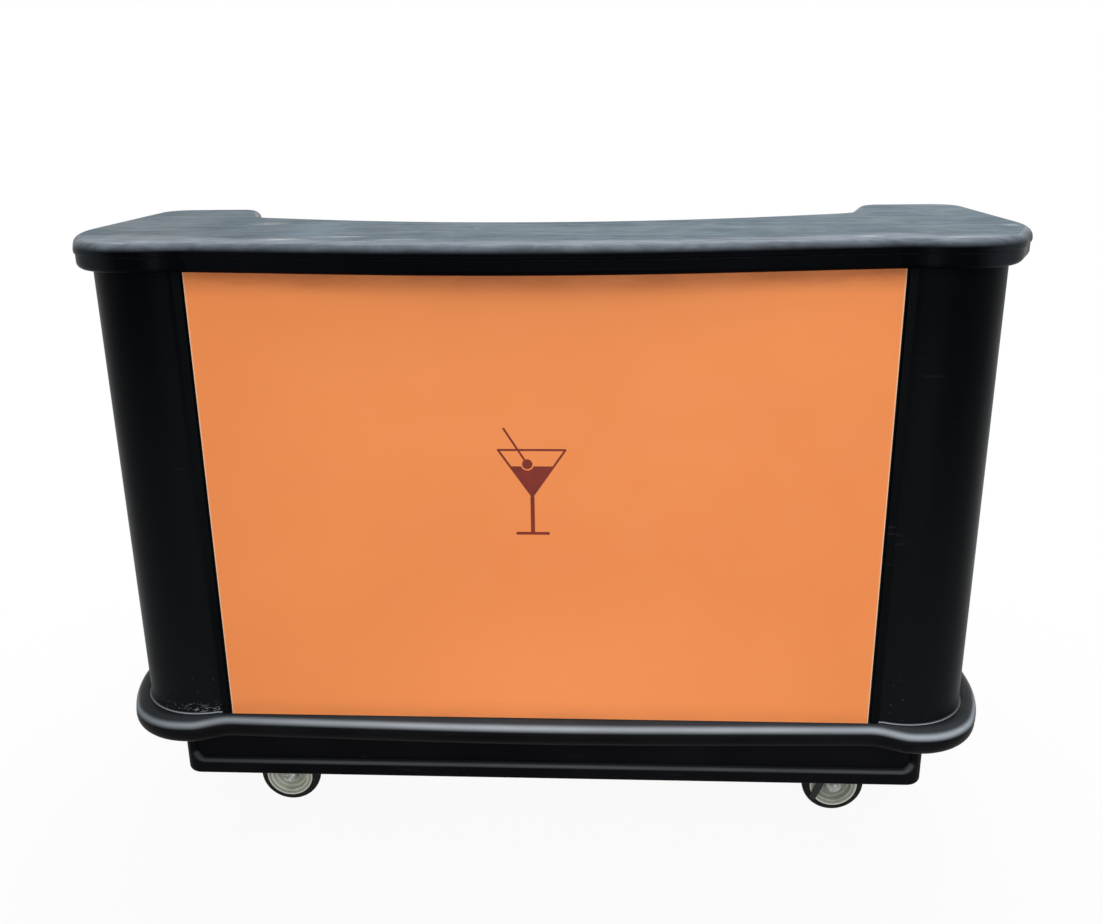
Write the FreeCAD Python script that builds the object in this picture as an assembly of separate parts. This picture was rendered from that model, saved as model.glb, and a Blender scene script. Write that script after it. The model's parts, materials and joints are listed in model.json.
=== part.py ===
import FreeCAD
import Part
import math
import os

# Overall size, in millimetres. X runs along the bar, the customer stands on the -Y side,
# Z is up, and the origin is on the floor under the middle of the whole bar.
overall_length = 1714.0
overall_depth = 718.0
overall_height = 1219.0

# Clearances and shared values
fit_gap = 0.3
running_gap = 0.05
drop_in_gap = 1.0
overrun = 5.0
edge_tolerance = 0.01
third_of_a_turn = 120

# Counter: a moulded slab with a rolled rim above a slightly smaller lower band
counter_thickness = 48.0
counter_rim_height = 23.0
counter_rim_step = 2.5
counter_top_radius = 17.0
counter_rim_radius = 4.0
counter_low_radius = 11.0
bow_reach = 103.0
bow_roundness_share = 0.385
waist_from_end = 257.0
waist_reach = 40.0
waist_radius = 120.0
lobe_from_end = 209.0
lobe_reach = 50.0
lobe_radius = 120.0
front_turn_from_end = 97.0
front_turn_radius = 130.0
side_turn_reach = 205.0
side_turn_radius = 300.0
counter_rear_corner_radius = 65.0
ear_inner_from_end = 207.0
ear_inner_radius = 55.0
ear_root_from_end = 269.0
ear_root_depth = 425.0
ear_root_radius = 60.0
rear_bow_depth = 288.0
rear_bow_roundness_share = 0.4953
counter_pocket_depth = 34.0
counter_pocket_radius = 20.0
counter_land = 22.0

# Columns: hollow mouldings, round towards the customer and the outside
column_from_end = 60.0
column_length = 232.0
column_radius = 123.75
column_proud = 3.0
column_depth = 575.0
column_wall = 8.0
column_rear_radius = 60.0
column_inner_radius = 22.0

# Front wall between the columns
wall_thickness = 8.0
wall_rib_width = 24.0
wall_rib_depth = 12.0
wall_rib_shares = (-0.6, 0.0, 0.6)

# Decorated front panel and its two retainers
panel_overlap = 36.0
panel_thickness = 5.0
panel_edge_radius = 1.0
retainer_groove = 4.5
retainer_width = 15.0
retainer_proud = 1.0
retainer_edge_radius = 1.5

# Emblem on the panel: a plain cocktail glass with an olive on a pick
emblem_thickness = 0.5
emblem_line = 3.6
emblem_offset = -17.0
emblem_foot_height = 698.0
emblem_height = 158.0
emblem_bowl_width = 118.0
emblem_bowl_height = 86.0
emblem_drink_height = 56.0
emblem_foot_width = 60.0
emblem_foot_thickness = 5.0
emblem_stem_width = 7.0
emblem_olive_radius = 9.0
emblem_olive_gap = 2.6
emblem_olive_offset = -8.0
emblem_olive_rise = 4.0
emblem_pick_length = 76.0
emblem_pick_tilt = 32.0

# Bumper rail around the foot of the body
foot_height = 325.0
bumper_height = 57.0
bumper_nose_radius = 27.5
bumper_from_end = 9.0
bumper_bow_reach = 20.0
bumper_bow_roundness_share = 0.33
bumper_dip_from_end = 230.0
bumper_dip_reach = 6.0
bumper_dip_radius = 60.0
bumper_lobe_from_end = 178.0
bumper_lobe_reach = 29.0
bumper_lobe_radius = 60.0
bumper_front_turn_from_end = 67.0
bumper_front_turn_radius = 130.0
bumper_side_turn_reach = 161.0
bumper_side_turn_radius = 350.0
bumper_rear_corner_radius = 95.0
bumper_depth = 600.0
bead_width = 3.85
bead_height = 3.0
bead_edge_radius = 1.2

# Base: the cabinet floor inside the bumper, and the plinth under it
base_deck_inset = 36.0
base_deck_front = 16.0
base_deck_thickness = 14.0
base_deck_front_radius = 130.0
base_deck_rear_radius = 60.0
caster_height = 159.0
plinth_from_end = 128.0
plinth_front = 46.0
plinth_rear = 560.0
plinth_corner_radius = 32.0
plinth_foot_radius = 8.0
plinth_wall = 24.0
plinth_floor = 10.0
channel_end_land = 26.0
channel_low = 33.0
channel_high = 96.0
channel_depth = 12.0
channel_radius = 18.0
channel_edge_radius = 8.0

# Work deck on the bartender's side
deck_height = 905.0
deck_thickness = 12.0
deck_depth = 497.0
deck_apron_height = 60.0
deck_apron_thickness = 12.0
deck_edge_radius = 4.0
ledge_width = 20.0
ledge_height = 15.0
ledge_front = 40.0
ledge_rear = 470.0

# Ice bin with its insulation
bin_room_beside = 335.0
bin_width = 360.0
bin_front = 92.0
bin_depth = 260.0
bin_wall = 2.0
bin_corner_radius = 30.0
bin_flange = 18.0
jacket_thickness = 25.0
jacket_corner_radius = 40.0

# Two covers at two levels of a pair of tracks, drawn with both over the left half of the bin
track_width = 14.0
track_height = 19.0
track_overlength = 8.0
track_slot_depth = 7.0
cover_thickness = 5.0
cover_low_gap = 3.0
cover_level_gap = 2.5
cover_overlap = 8.0
cover_corner_radius = 5.0
cover_finger_radius = 12.0
cover_finger_inset = 32.0

# Drain under the ice bin: tailpiece with a grid, ball valve and lever
drain_flange_radius = 24.0
drain_flange_thickness = 3.0
drain_pipe_radius = 15.0
drain_bore_radius = 10.0
drain_nut_radius = 24.0
drain_nut_height = 9.0
grid_thickness = 2.0
grid_hole_radius = 1.4
grid_ring_shares = (0.0, 0.38, 0.78)
grid_ring_counts = (1, 6, 12)
valve_radius = 22.0
valve_height = 44.0
valve_ball_radius = 16.0
spigot_radius = 12.5
spigot_length = 30.0
stem_radius = 4.0
stem_sink = 4.0
stem_reach = 12.0
lever_length = 70.0
lever_width = 14.0
lever_thickness = 4.0
lever_knob_radius = 9.0

# Two bottle wells that lift out of the deck
well_length = 220.0
well_width = 360.0
well_from_bay_end = 155.0
well_depth = 180.0
well_wall = 3.0
well_corner_radius = 25.0
well_flange = 12.0

# Speed rail for bottles, screwed to the deck's apron
rail_room_beside = 85.0
rail_depth = 100.0
rail_sheet = 2.0
rail_back_height = 135.0
rail_front_height = 92.0
rail_top_drop = 12.0
rail_bend_radius = 5.0
rail_bar_radius = 5.0
rail_screw_drop = 30.0
rail_screw_shares = (-0.88, -0.3, 0.3, 0.88)

# Pull-out storage shelf and its runners
shelf_height = 482.0
shelf_thickness = 12.0
shelf_front = 40.0
shelf_rear = 540.0
shelf_lip_height = 16.0
shelf_lip_thickness = 8.0
runner_width = 20.0
runner_height = 15.0

# Brackets and screws that hold the counter
bracket_leg = 38.0
bracket_sheet = 4.0
bracket_width = 50.0
bracket_places = (62.0, 330.0)
bracket_wall_share = 0.72
screw_radius = 3.0
screw_length = 14.0
screw_head_radius = 5.5
screw_head_height = 3.2
screw_hole_gap = 0.2

# Casters
caster_from_plinth_end = 164.0
caster_front = 203.0
caster_rear = 496.0
swivel_trail = 26.0
wheel_radius = 63.5
wheel_width = 30.0
tyre_thickness = 21.5
tyre_edge_radius = 13.0
core_rim_thickness = 5.0
core_rim_width = 27.0
core_web_width = 9.0
core_hub_radius = 16.0
core_hub_width = 32.0
core_groove_radius = 2.0
core_groove_share = 0.62
bush_radius = 9.0
bush_flange_radius = 12.0
axle_radius = 6.0
axle_head_radius = 10.5
axle_head_height = 7.0
axle_washer_radius = 12.0
axle_washer_height = 2.0
fork_gap = 17.6
fork_sheet = 3.5
fork_foot_radius = 14.0
fork_crown_length = 62.0
fork_crown_gap = 6.0
plate_length = 100.0
plate_width = 86.0
plate_thickness = 4.0
plate_corner_radius = 10.0
plate_bolt_spacing_x = 80.0
plate_bolt_spacing_y = 60.0
bolt_radius = 4.0
bolt_head_radius = 7.0
bolt_head_height = 5.0
race_radius = 26.0
race_upper_height = 8.0
race_lower_height = 5.5
race_groove_radius = 19.0
ball_radius = 2.4
ball_count = 20
kingpin_radius = 7.0
kingpin_head_radius = 12.0
kingpin_head_height = 4.5

# Foot brake on each swivel caster
brake_pivot_back = 24.0
brake_pivot_rise = 20.0
brake_arm_width = 13.0
brake_arm_thickness = 4.0
brake_tail_back = 42.0
brake_tail_drop = 22.0
brake_pad_back = 74.0
brake_pad_rise = 42.0
brake_pad_length = 26.0
brake_pad_thickness = 6.0
brake_pin_radius = 4.0
brake_pin_head_radius = 7.0
brake_pin_head_height = 3.0

# Places worked out from the sizes above
half_length = overall_length / 2
rear_y = overall_depth / 2
panel_y = bow_reach - overall_depth / 2
counter_low = overall_height - counter_thickness
waist_x = half_length - waist_from_end
lobe_x = half_length - lobe_from_end
ear_inner_x = half_length - ear_inner_from_end
ear_root_x = half_length - ear_root_from_end
bow_radius = bow_roundness_share * waist_x ** 2 / (bow_reach - waist_reach)
rear_bow_radius = rear_bow_roundness_share * ear_root_x ** 2 / (ear_root_depth - rear_bow_depth)
column_outer_x = half_length - column_from_end
bay_half = column_outer_x - column_length
panel_half = bay_half + panel_overlap
bumper_half = half_length - bumper_from_end
bumper_dip_x = bumper_half - bumper_dip_from_end
bumper_lobe_x = bumper_half - bumper_lobe_from_end
bumper_bow_radius = (bumper_bow_roundness_share * bumper_dip_x ** 2
                     / (bumper_bow_reach - bumper_dip_reach))
plinth_half = half_length - plinth_from_end
caster_x = plinth_half - caster_from_plinth_end
bin_half = bay_half - bin_room_beside
well_x = bay_half - well_from_bay_end
rail_half = bay_half - rail_room_beside
wall_front = panel_y + panel_thickness
wall_back = wall_front + wall_thickness
column_centre_x = column_outer_x - column_radius
column_centre_y = panel_y - column_proud + column_radius
column_rear = panel_y + column_depth
bumper_low = foot_height - bumper_height
deck_low = deck_height - deck_thickness
deck_front_y = wall_back + fit_gap
deck_rear_y = panel_y + deck_depth
bin_floor = deck_height - bin_depth
bin_middle_y = panel_y + bin_front + bin_width / 2
bin_flange_top = deck_height + bin_wall
cover_low_bottom = bin_flange_top + cover_low_gap
cover_high_bottom = cover_low_bottom + cover_thickness + cover_level_gap
jacket_bottom = bin_floor - jacket_thickness
valve_top = jacket_bottom - drain_nut_height
valve_middle = valve_top - valve_height / 2
shelf_bottom = shelf_height - shelf_thickness
plate_bottom = caster_height - plate_thickness
crown_low = 2 * wheel_radius + fork_crown_gap
crown_high = crown_low + fork_sheet

x_axis = FreeCAD.Vector(1, 0, 0)
y_axis = FreeCAD.Vector(0, 1, 0)
z_axis = FreeCAD.Vector(0, 0, 1)


# Shape helpers

def vec(x, y, z=0.0):
    return FreeCAD.Vector(x, y, z)


def block(x_low, x_high, y_low, y_high, z_low, z_high):
    corner = vec(x_low, y_low, z_low)
    return Part.makeBox(x_high - x_low, y_high - y_low, z_high - z_low, corner)


def rod(radius, start, direction, length):
    return Part.makeCylinder(radius, length, start, direction)


def tube(outer, inner, start, direction, length):
    return rod(outer, start, direction, length).cut(rod(inner, start, direction, length))


def outline(corners, z):
    """Flat face at height z with corners (x, y, radius), rounded by arcs."""
    stretches = []
    for index, (x, y, radius) in enumerate(corners):
        corner = vec(x, y, z)
        last_x, last_y, _ = corners[index - 1]
        next_x, next_y, _ = corners[(index + 1) % len(corners)]
        to_last = (vec(last_x, last_y, z) - corner).normalize()
        to_next = (vec(next_x, next_y, z) - corner).normalize()
        half_angle = to_last.getAngle(to_next) / 2
        reach = radius / math.tan(half_angle)
        to_centre = (to_last + to_next).normalize()
        middle = corner + to_centre * (radius / math.sin(half_angle) - radius)
        stretches.append((corner + to_last * reach, middle, corner + to_next * reach, radius))
    edges = []
    for index, (start, middle, end, radius) in enumerate(stretches):
        if radius > 0:
            edges.append(Part.Arc(start, middle, end).toShape())
        next_start = stretches[(index + 1) % len(stretches)][0]
        if (next_start - end).Length > edge_tolerance:
            edges.append(Part.LineSegment(end, next_start).toShape())
    return Part.Face(Part.Wire(edges))


def slab(corners, z_low, z_high):
    return outline(corners, z_low).extrude(z_axis * (z_high - z_low))


def rounded_box(x_low, x_high, y_low, y_high, z_low, z_high, radius):
    corners = [(x_low, y_low, radius), (x_high, y_low, radius),
               (x_high, y_high, radius), (x_low, y_high, radius)]
    return slab(corners, z_low, z_high)


def both_sides(corners):
    """Whole outline from its +X half, listed from the front middle to the rear."""
    return corners + [(-x, y, radius) for x, y, radius in reversed(corners) if x > 0]


def bow_corner(middle_y, radius, x, y):
    """Corner on the centre line whose arc of this radius runs tangent to (x, y)."""
    rise = middle_y + radius - y
    angle = math.atan2(x, rise) - math.acos(radius / math.hypot(x, rise))
    return (0.0, y - x * math.tan(angle), radius)


def front_turns(end, front, from_end, reach, radii, inset):
    """Two corners that round the front of the +X end, the outline moved inwards by inset."""
    slant = vec(from_end, reach).normalize()
    inward = vec(-slant.y, slant.x)
    turns = [(vec(end - from_end, front), y_axis, radii[0]),
             (vec(end, front + reach), -x_axis, radii[1])]
    corners = []
    for corner, beside, radius in turns:
        corner += (inward + beside) * (inset / (1 + inward.dot(beside)))
        corners.append((corner.x, corner.y, radius - inset))
    return corners


def edges_at(shape, z):
    return [edge for edge in shape.Edges
            if abs(edge.BoundBox.ZMin - z) < edge_tolerance
            and abs(edge.BoundBox.ZMax - z) < edge_tolerance]


def mirrored(shape):
    return shape.mirror(vec(0, 0), x_axis)


def prism_y(points, y_low, y_high):
    """Straight-sided prism along Y over (x, z) points."""
    corners = [vec(x, y_low, z) for x, z in points]
    face = Part.Face(Part.makePolygon(corners + corners[:1]))
    return face.extrude(y_axis * (y_high - y_low))


def strip_y(start, end, width, y_low, y_high):
    """Flat bar of this width from one (x, z) place to another, with square ends."""
    run = vec(end[0] - start[0], end[1] - start[1]).normalize()
    side = vec(-run.y, run.x) * (width / 2)
    points = [(start[0] + side.x, start[1] + side.y), (end[0] + side.x, end[1] + side.y),
              (end[0] - side.x, end[1] - side.y), (start[0] - side.x, start[1] - side.y)]
    return prism_y(points, y_low, y_high)


def link_y(start, end, width, y_low, y_high):
    """Flat bar with round ends between two (x, z) places."""
    body = strip_y(start, end, width, y_low, y_high)
    for x, z in (start, end):
        body = body.fuse(rod(width / 2, vec(x, y_low, z), y_axis, y_high - y_low))
    return body.removeSplitter()


def hexagon(radius, start, direction, height):
    """Hexagonal head or nut, radius to its corners."""
    side = x_axis if abs(direction.dot(x_axis)) < edge_tolerance else y_axis
    other = direction.cross(side)
    points = [start + side * (radius * math.cos(math.radians(60 * turn)))
              + other * (radius * math.sin(math.radians(60 * turn))) for turn in range(6)]
    return Part.Face(Part.makePolygon(points + points[:1])).extrude(direction * height)


def tub(middle_x, middle_y, length, width, depth, wall, radius, flange):
    """Open box that hangs in the deck by a flange on the deck's top."""
    x_low, x_high = middle_x - length / 2, middle_x + length / 2
    y_low, y_high = middle_y - width / 2, middle_y + width / 2
    bottom = deck_height - depth
    shell = rounded_box(x_low, x_high, y_low, y_high, bottom, deck_height + wall, radius)
    rim = rounded_box(x_low - flange, x_high + flange, y_low - flange, y_high + flange,
                      deck_height, deck_height + wall, radius + flange)
    hollow = rounded_box(x_low + wall, x_high - wall, y_low + wall, y_high - wall,
                         bottom + wall, deck_height + wall + overrun, radius - wall)
    return shell.fuse(rim).removeSplitter().cut(hollow)


def solids_of(shapes):
    return Part.makeCompound(shapes)


# Counter

def counter_corners(inset):
    front = panel_y + inset
    end = half_length - inset
    waist_y = front - waist_reach
    rear = rear_y - inset
    root_y = panel_y + ear_root_depth - inset
    half = [
        bow_corner(front - bow_reach, bow_radius - inset, waist_x, waist_y),
        (waist_x, waist_y, waist_radius + inset),
        (lobe_x, front - lobe_reach, lobe_radius - inset),
        *front_turns(half_length, panel_y - lobe_reach, front_turn_from_end, side_turn_reach,
                     (front_turn_radius, side_turn_radius), inset),
        (end, rear, counter_rear_corner_radius - inset),
        (ear_inner_x + inset, rear, ear_inner_radius - inset),
        (ear_root_x + inset, root_y, ear_root_radius + inset),
        bow_corner(panel_y + rear_bow_depth - inset, rear_bow_radius + inset,
                   ear_root_x + inset, root_y),
    ]
    return both_sides(half)


def make_counter():
    split = overall_height - counter_rim_height
    rim = slab(counter_corners(0.0), split, overall_height)
    rim = rim.makeFillet(counter_top_radius, edges_at(rim, overall_height))
    rim = rim.makeFillet(counter_rim_radius, edges_at(rim, split))
    band = slab(counter_corners(counter_rim_step), counter_low, split)
    band = band.makeFillet(counter_low_radius, edges_at(band, counter_low))
    counter = rim.fuse(band).removeSplitter()
    pocket_top = counter_low + counter_pocket_depth
    middle_half = bay_half - bracket_leg - counter_land
    middle_front = wall_back + bracket_leg + counter_land
    pockets = [rounded_box(-middle_half, middle_half, middle_front,
                           panel_y + rear_bow_depth - counter_land,
                           counter_low - overrun, pocket_top, counter_pocket_radius)]
    ear = rounded_box(bay_half + counter_land, column_outer_x - counter_land,
                      panel_y + counter_land * 2, column_rear - counter_land,
                      counter_low - overrun, pocket_top, counter_pocket_radius)
    pockets += [ear, mirrored(ear)]
    holes = [rod(screw_radius + screw_hole_gap, place, z_axis, screw_length)
             for place, _ in counter_screw_places()]
    return counter.cut(solids_of(pockets + holes))


def bracket_spots():
    """Corner of each angle bracket, and its direction away from the wall that carries it."""
    spots = []
    for depth in bracket_places:
        spots.append((vec(bay_half, panel_y + depth, counter_low), -x_axis))
        spots.append((vec(-bay_half, panel_y + depth, counter_low), x_axis))
    for side in (-1, 1):
        along = side * bracket_wall_share * bay_half
        spots.append((vec(along, wall_back, counter_low), y_axis))
    return spots


def counter_screw_places():
    places = []
    for corner, inward in bracket_spots():
        across = inward.cross(z_axis)
        for side in (-1, 1):
            spot = corner + inward * (bracket_leg / 2) + across * (side * bracket_width / 4)
            places.append((spot, z_axis))
    return places


def make_brackets():
    brackets = []
    for corner, inward in bracket_spots():
        across = inward.cross(z_axis)
        points = [corner, corner + inward * bracket_leg,
                  corner + inward * bracket_leg - z_axis * bracket_sheet,
                  corner + inward * bracket_sheet - z_axis * bracket_sheet,
                  corner + inward * bracket_sheet - z_axis * bracket_leg,
                  corner - z_axis * bracket_leg]
        points = [point - across * (bracket_width / 2) for point in points]
        face = Part.Face(Part.makePolygon(points + points[:1]))
        brackets.append(face.extrude(across * bracket_width))
    holes = [rod(screw_radius + screw_hole_gap, place - z_axis * overrun, z_axis, overrun * 2)
             for place, _ in counter_screw_places()]
    return solids_of([bracket.cut(solids_of(holes)) for bracket in brackets])


def screw(seat, direction):
    """Pan-head screw whose head lies against the seat, with its shank along direction."""
    head = rod(screw_head_radius, seat, direction * -1, screw_head_height)
    head = head.makeFillet(screw_head_height / 2, [head.Edges[0]])
    return head.fuse(rod(screw_radius, seat, direction, screw_length)).removeSplitter()


def make_counter_screws():
    return solids_of([screw(place - z_axis * bracket_sheet, z_axis)
                      for place, _ in counter_screw_places()])


# Body

def column_face(grow, z):
    """Plan of the +X column, grown outwards all round by this much."""
    radius = column_radius + grow
    flange_y = wall_front - grow
    inner_x = bay_half - grow
    rear = column_rear + grow
    outer_round = column_rear_radius + grow
    inner_round = column_inner_radius + grow
    outer_x = column_centre_x + radius
    join_x = column_centre_x - math.sqrt(radius ** 2 - (column_centre_y - flange_y) ** 2)
    centre = vec(column_centre_x, column_centre_y, z)
    join = vec(join_x, flange_y, z)
    half_turn = math.atan2(join.y - centre.y, join.x - centre.x) / 2
    nose = centre + vec(math.cos(half_turn), math.sin(half_turn)) * radius
    side_front = vec(outer_x, column_centre_y, z)
    diagonal = math.sqrt(0.5)
    side_rear = vec(outer_x, rear - outer_round, z)
    outer_centre = vec(outer_x - outer_round, rear - outer_round, z)
    back_outer = vec(outer_x - outer_round, rear, z)
    back_inner = vec(inner_x + inner_round, rear, z)
    inner_centre = vec(inner_x + inner_round, rear - inner_round, z)
    cheek_rear = vec(inner_x, rear - inner_round, z)
    cheek_front = vec(inner_x, flange_y, z)
    outer_mid = outer_centre + vec(diagonal, diagonal) * outer_round
    inner_mid = inner_centre + vec(-diagonal, diagonal) * inner_round
    edges = [
        Part.LineSegment(cheek_front, join),
        Part.Arc(join, nose, side_front),
        Part.LineSegment(side_front, side_rear),
        Part.Arc(side_rear, outer_mid, back_outer),
        Part.LineSegment(back_outer, back_inner),
        Part.Arc(back_inner, inner_mid, cheek_rear),
        Part.LineSegment(cheek_rear, cheek_front),
    ]
    return Part.Face(Part.Wire([edge.toShape() for edge in edges]))


def make_column():
    height = counter_low - foot_height
    outside = column_face(0.0, foot_height).extrude(z_axis * height)
    inside = column_face(-column_wall, foot_height - overrun)
    return outside.cut(inside.extrude(z_axis * (height + overrun * 2)))


def make_front_wall():
    wall = block(-bay_half, bay_half, wall_front, wall_back, foot_height, counter_low)
    for share in wall_rib_shares:
        middle = share * bay_half
        rib = block(middle - wall_rib_width / 2, middle + wall_rib_width / 2, wall_back - overrun,
                    wall_back + wall_rib_depth, foot_height, shelf_bottom - runner_height)
        wall = wall.fuse(rib)
    return wall.removeSplitter()


def make_panel():
    corners = [(-panel_half, panel_y, panel_edge_radius), (panel_half, panel_y, panel_edge_radius),
               (panel_half, wall_front, 0.0), (-panel_half, wall_front, 0.0)]
    return slab(corners, foot_height + fit_gap, counter_low)


def make_retainer():
    x_low = panel_half + retainer_groove
    x_high = x_low + retainer_width
    front = panel_y - retainer_proud
    corners = [(x_low, front, retainer_edge_radius), (x_high, front, retainer_edge_radius),
               (x_high, wall_front, 0.0), (x_low, wall_front, 0.0)]
    return slab(corners, foot_height + fit_gap, counter_low)


def make_emblem():
    """Cocktail glass: V bowl with a level drink, an olive on a pick, a stem and a foot."""
    y_low, y_high = panel_y - emblem_thickness, panel_y
    middle = emblem_offset
    foot = emblem_foot_height
    rim = foot + emblem_height
    half_rim = emblem_bowl_width / 2
    tip = rim - emblem_bowl_height
    level = tip + emblem_drink_height
    slope = half_rim / emblem_bowl_height
    half_level = emblem_drink_height * slope
    lines = [link_y((middle - half_rim, rim), (middle + half_rim, rim), emblem_line, y_low, y_high)]
    for side in (-1, 1):
        lines.append(link_y((middle + side * half_rim, rim), (middle, tip), emblem_line,
                            y_low, y_high))
    lines.append(prism_y([(middle - half_level, level), (middle + half_level, level),
                          (middle, tip)], y_low, y_high))
    lines.append(strip_y((middle, tip), (middle, foot), emblem_stem_width, y_low, y_high))
    half_foot = (emblem_foot_width - emblem_foot_thickness) / 2
    foot_z = foot + emblem_foot_thickness / 2
    lines.append(link_y((middle - half_foot, foot_z), (middle + half_foot, foot_z),
                        emblem_foot_thickness, y_low, y_high))
    glass = lines[0].multiFuse(lines[1:])
    olive_x = middle + emblem_olive_offset
    olive_z = level + emblem_olive_rise
    thickness = y_high - y_low
    halo = rod(emblem_olive_radius + emblem_olive_gap, vec(olive_x, y_low, olive_z), y_axis,
               thickness)
    olive = rod(emblem_olive_radius, vec(olive_x, y_low, olive_z), y_axis, thickness)
    lean = math.radians(emblem_pick_tilt)
    pick_top = (olive_x - math.sin(lean) * emblem_pick_length,
                olive_z + math.cos(lean) * emblem_pick_length)
    pick = link_y((olive_x, olive_z), pick_top, emblem_line, y_low, y_high)
    return glass.cut(halo).multiFuse([olive, pick]).removeSplitter()


# Base

def base_deck_corners(grow):
    end = bumper_half - base_deck_inset + grow
    front = panel_y + base_deck_front - grow
    rear = panel_y + bumper_depth - base_deck_inset + grow
    half = [(end, front, base_deck_front_radius + grow), (end, rear, base_deck_rear_radius + grow)]
    return both_sides(half)


def make_bumper():
    dip_y = panel_y - bumper_dip_reach
    lobe_y = panel_y - bumper_lobe_reach
    rear = panel_y + bumper_depth
    half = [
        bow_corner(panel_y - bumper_bow_reach, bumper_bow_radius, bumper_dip_x, dip_y),
        (bumper_dip_x, dip_y, bumper_dip_radius),
        (bumper_lobe_x, lobe_y, bumper_lobe_radius),
        *front_turns(bumper_half, lobe_y, bumper_front_turn_from_end, bumper_side_turn_reach,
                     (bumper_front_turn_radius, bumper_side_turn_radius), 0.0),
        (bumper_half, rear, bumper_rear_corner_radius),
    ]
    ring = slab(both_sides(half), bumper_low, foot_height)
    ring = ring.makeFillet(bumper_nose_radius,
                           edges_at(ring, bumper_low) + edges_at(ring, foot_height))
    inside = slab(base_deck_corners(fit_gap), bumper_low - overrun, foot_height + overrun)
    return ring.cut(inside)


def make_foot_beads():
    outer = column_face(bead_width, foot_height).extrude(z_axis * bead_height)
    outer = outer.makeFillet(bead_edge_radius, edges_at(outer, foot_height + bead_height))
    inner = column_face(fit_gap, foot_height - overrun).extrude(z_axis * (bead_height + overrun * 2))
    bead = outer.cut(inner)
    keep_x = panel_half + retainer_groove + retainer_width + fit_gap
    room = block(keep_x, half_length, panel_y - bumper_depth, column_rear + bumper_depth,
                 foot_height - overrun, foot_height + bead_height + overrun)
    bead = bead.common(room)
    return solids_of([bead, mirrored(bead)])


def make_base_deck():
    return slab(base_deck_corners(0.0), foot_height - base_deck_thickness, foot_height)


def channel_cut(face_y, inward):
    """Shallow channel with rounded ends along one long side of the plinth."""
    half = plinth_half - channel_end_land
    z_low = caster_height + channel_low
    z_high = caster_height + channel_high
    start = face_y - inward * overrun
    corners = [(-half, z_low, channel_radius), (half, z_low, channel_radius),
               (half, z_high, channel_radius), (-half, z_high, channel_radius)]
    face = outline(corners, 0.0)
    face.rotate(vec(0, 0), x_axis, 90)
    face.translate(y_axis * start)
    return face.extrude(y_axis * (inward * (channel_depth + overrun)))


def make_plinth():
    front = panel_y + plinth_front
    rear = panel_y + plinth_rear
    top = foot_height - base_deck_thickness
    body = rounded_box(-plinth_half, plinth_half, front, rear, caster_height, top,
                       plinth_corner_radius)
    body = body.makeFillet(plinth_foot_radius, edges_at(body, caster_height))
    body = body.cut(channel_cut(front, 1)).cut(channel_cut(rear, -1))
    rims = [edge for edge in body.Edges
            if edge.BoundBox.ZMin > caster_height + channel_low - edge_tolerance
            and edge.BoundBox.ZMax < caster_height + channel_high + edge_tolerance
            and min(abs(edge.BoundBox.YMin - front), abs(edge.BoundBox.YMax - rear))
            < edge_tolerance
            and edge.BoundBox.YLength < edge_tolerance]
    body = body.makeFillet(channel_edge_radius, rims)
    hollow = rounded_box(-plinth_half + plinth_wall, plinth_half - plinth_wall, front + plinth_wall,
                         rear - plinth_wall, caster_height + plinth_floor, top + overrun,
                         plinth_corner_radius - plinth_wall / 2)
    holes = [rod(bolt_radius + screw_hole_gap, place - z_axis * overrun, z_axis,
                 plinth_floor + overrun * 2) for place in plate_bolt_places()]
    return body.cut(hollow).cut(solids_of(holes))


# Bartender's side

def make_work_deck():
    half = bay_half - drop_in_gap
    plate = block(-half, half, deck_front_y, deck_rear_y, deck_low, deck_height)
    apron = block(-half, half, deck_rear_y - deck_apron_thickness, deck_rear_y,
                  deck_height - deck_apron_height, deck_height)
    deck = plate.fuse(apron).removeSplitter()
    rear_edges = [edge for edge in edges_at(deck, deck_height)
                  if abs(edge.BoundBox.YMin - deck_rear_y) < edge_tolerance]
    deck = deck.makeFillet(deck_edge_radius, rear_edges)
    cuts = [rounded_box(-bin_half - drop_in_gap, bin_half + drop_in_gap,
                        bin_middle_y - bin_width / 2 - drop_in_gap,
                        bin_middle_y + bin_width / 2 + drop_in_gap,
                        deck_low - overrun, deck_height + overrun, bin_corner_radius)]
    for side in (-1, 1):
        middle = side * well_x
        cuts.append(rounded_box(middle - well_length / 2 - drop_in_gap,
                                middle + well_length / 2 + drop_in_gap,
                                bin_middle_y - well_width / 2 - drop_in_gap,
                                bin_middle_y + well_width / 2 + drop_in_gap,
                                deck_low - overrun, deck_height + overrun, well_corner_radius))
    cuts += [rod(screw_radius + screw_hole_gap, place - y_axis * screw_length, y_axis,
                 screw_length + overrun) for place in rail_screw_places()]
    return deck.cut(solids_of(cuts))


def make_ledges():
    ledge = block(bay_half - ledge_width, bay_half, panel_y + ledge_front, panel_y + ledge_rear,
                  deck_low - ledge_height, deck_low)
    return solids_of([ledge, mirrored(ledge)])


def make_bin_liner():
    liner = tub(0.0, bin_middle_y, bin_half * 2, bin_width, bin_depth, bin_wall,
                bin_corner_radius, bin_flange)
    hole = rod(drain_pipe_radius + fit_gap, vec(0, bin_middle_y, bin_floor - overrun), z_axis,
               bin_wall + overrun * 2)
    return liner.cut(hole)


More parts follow.
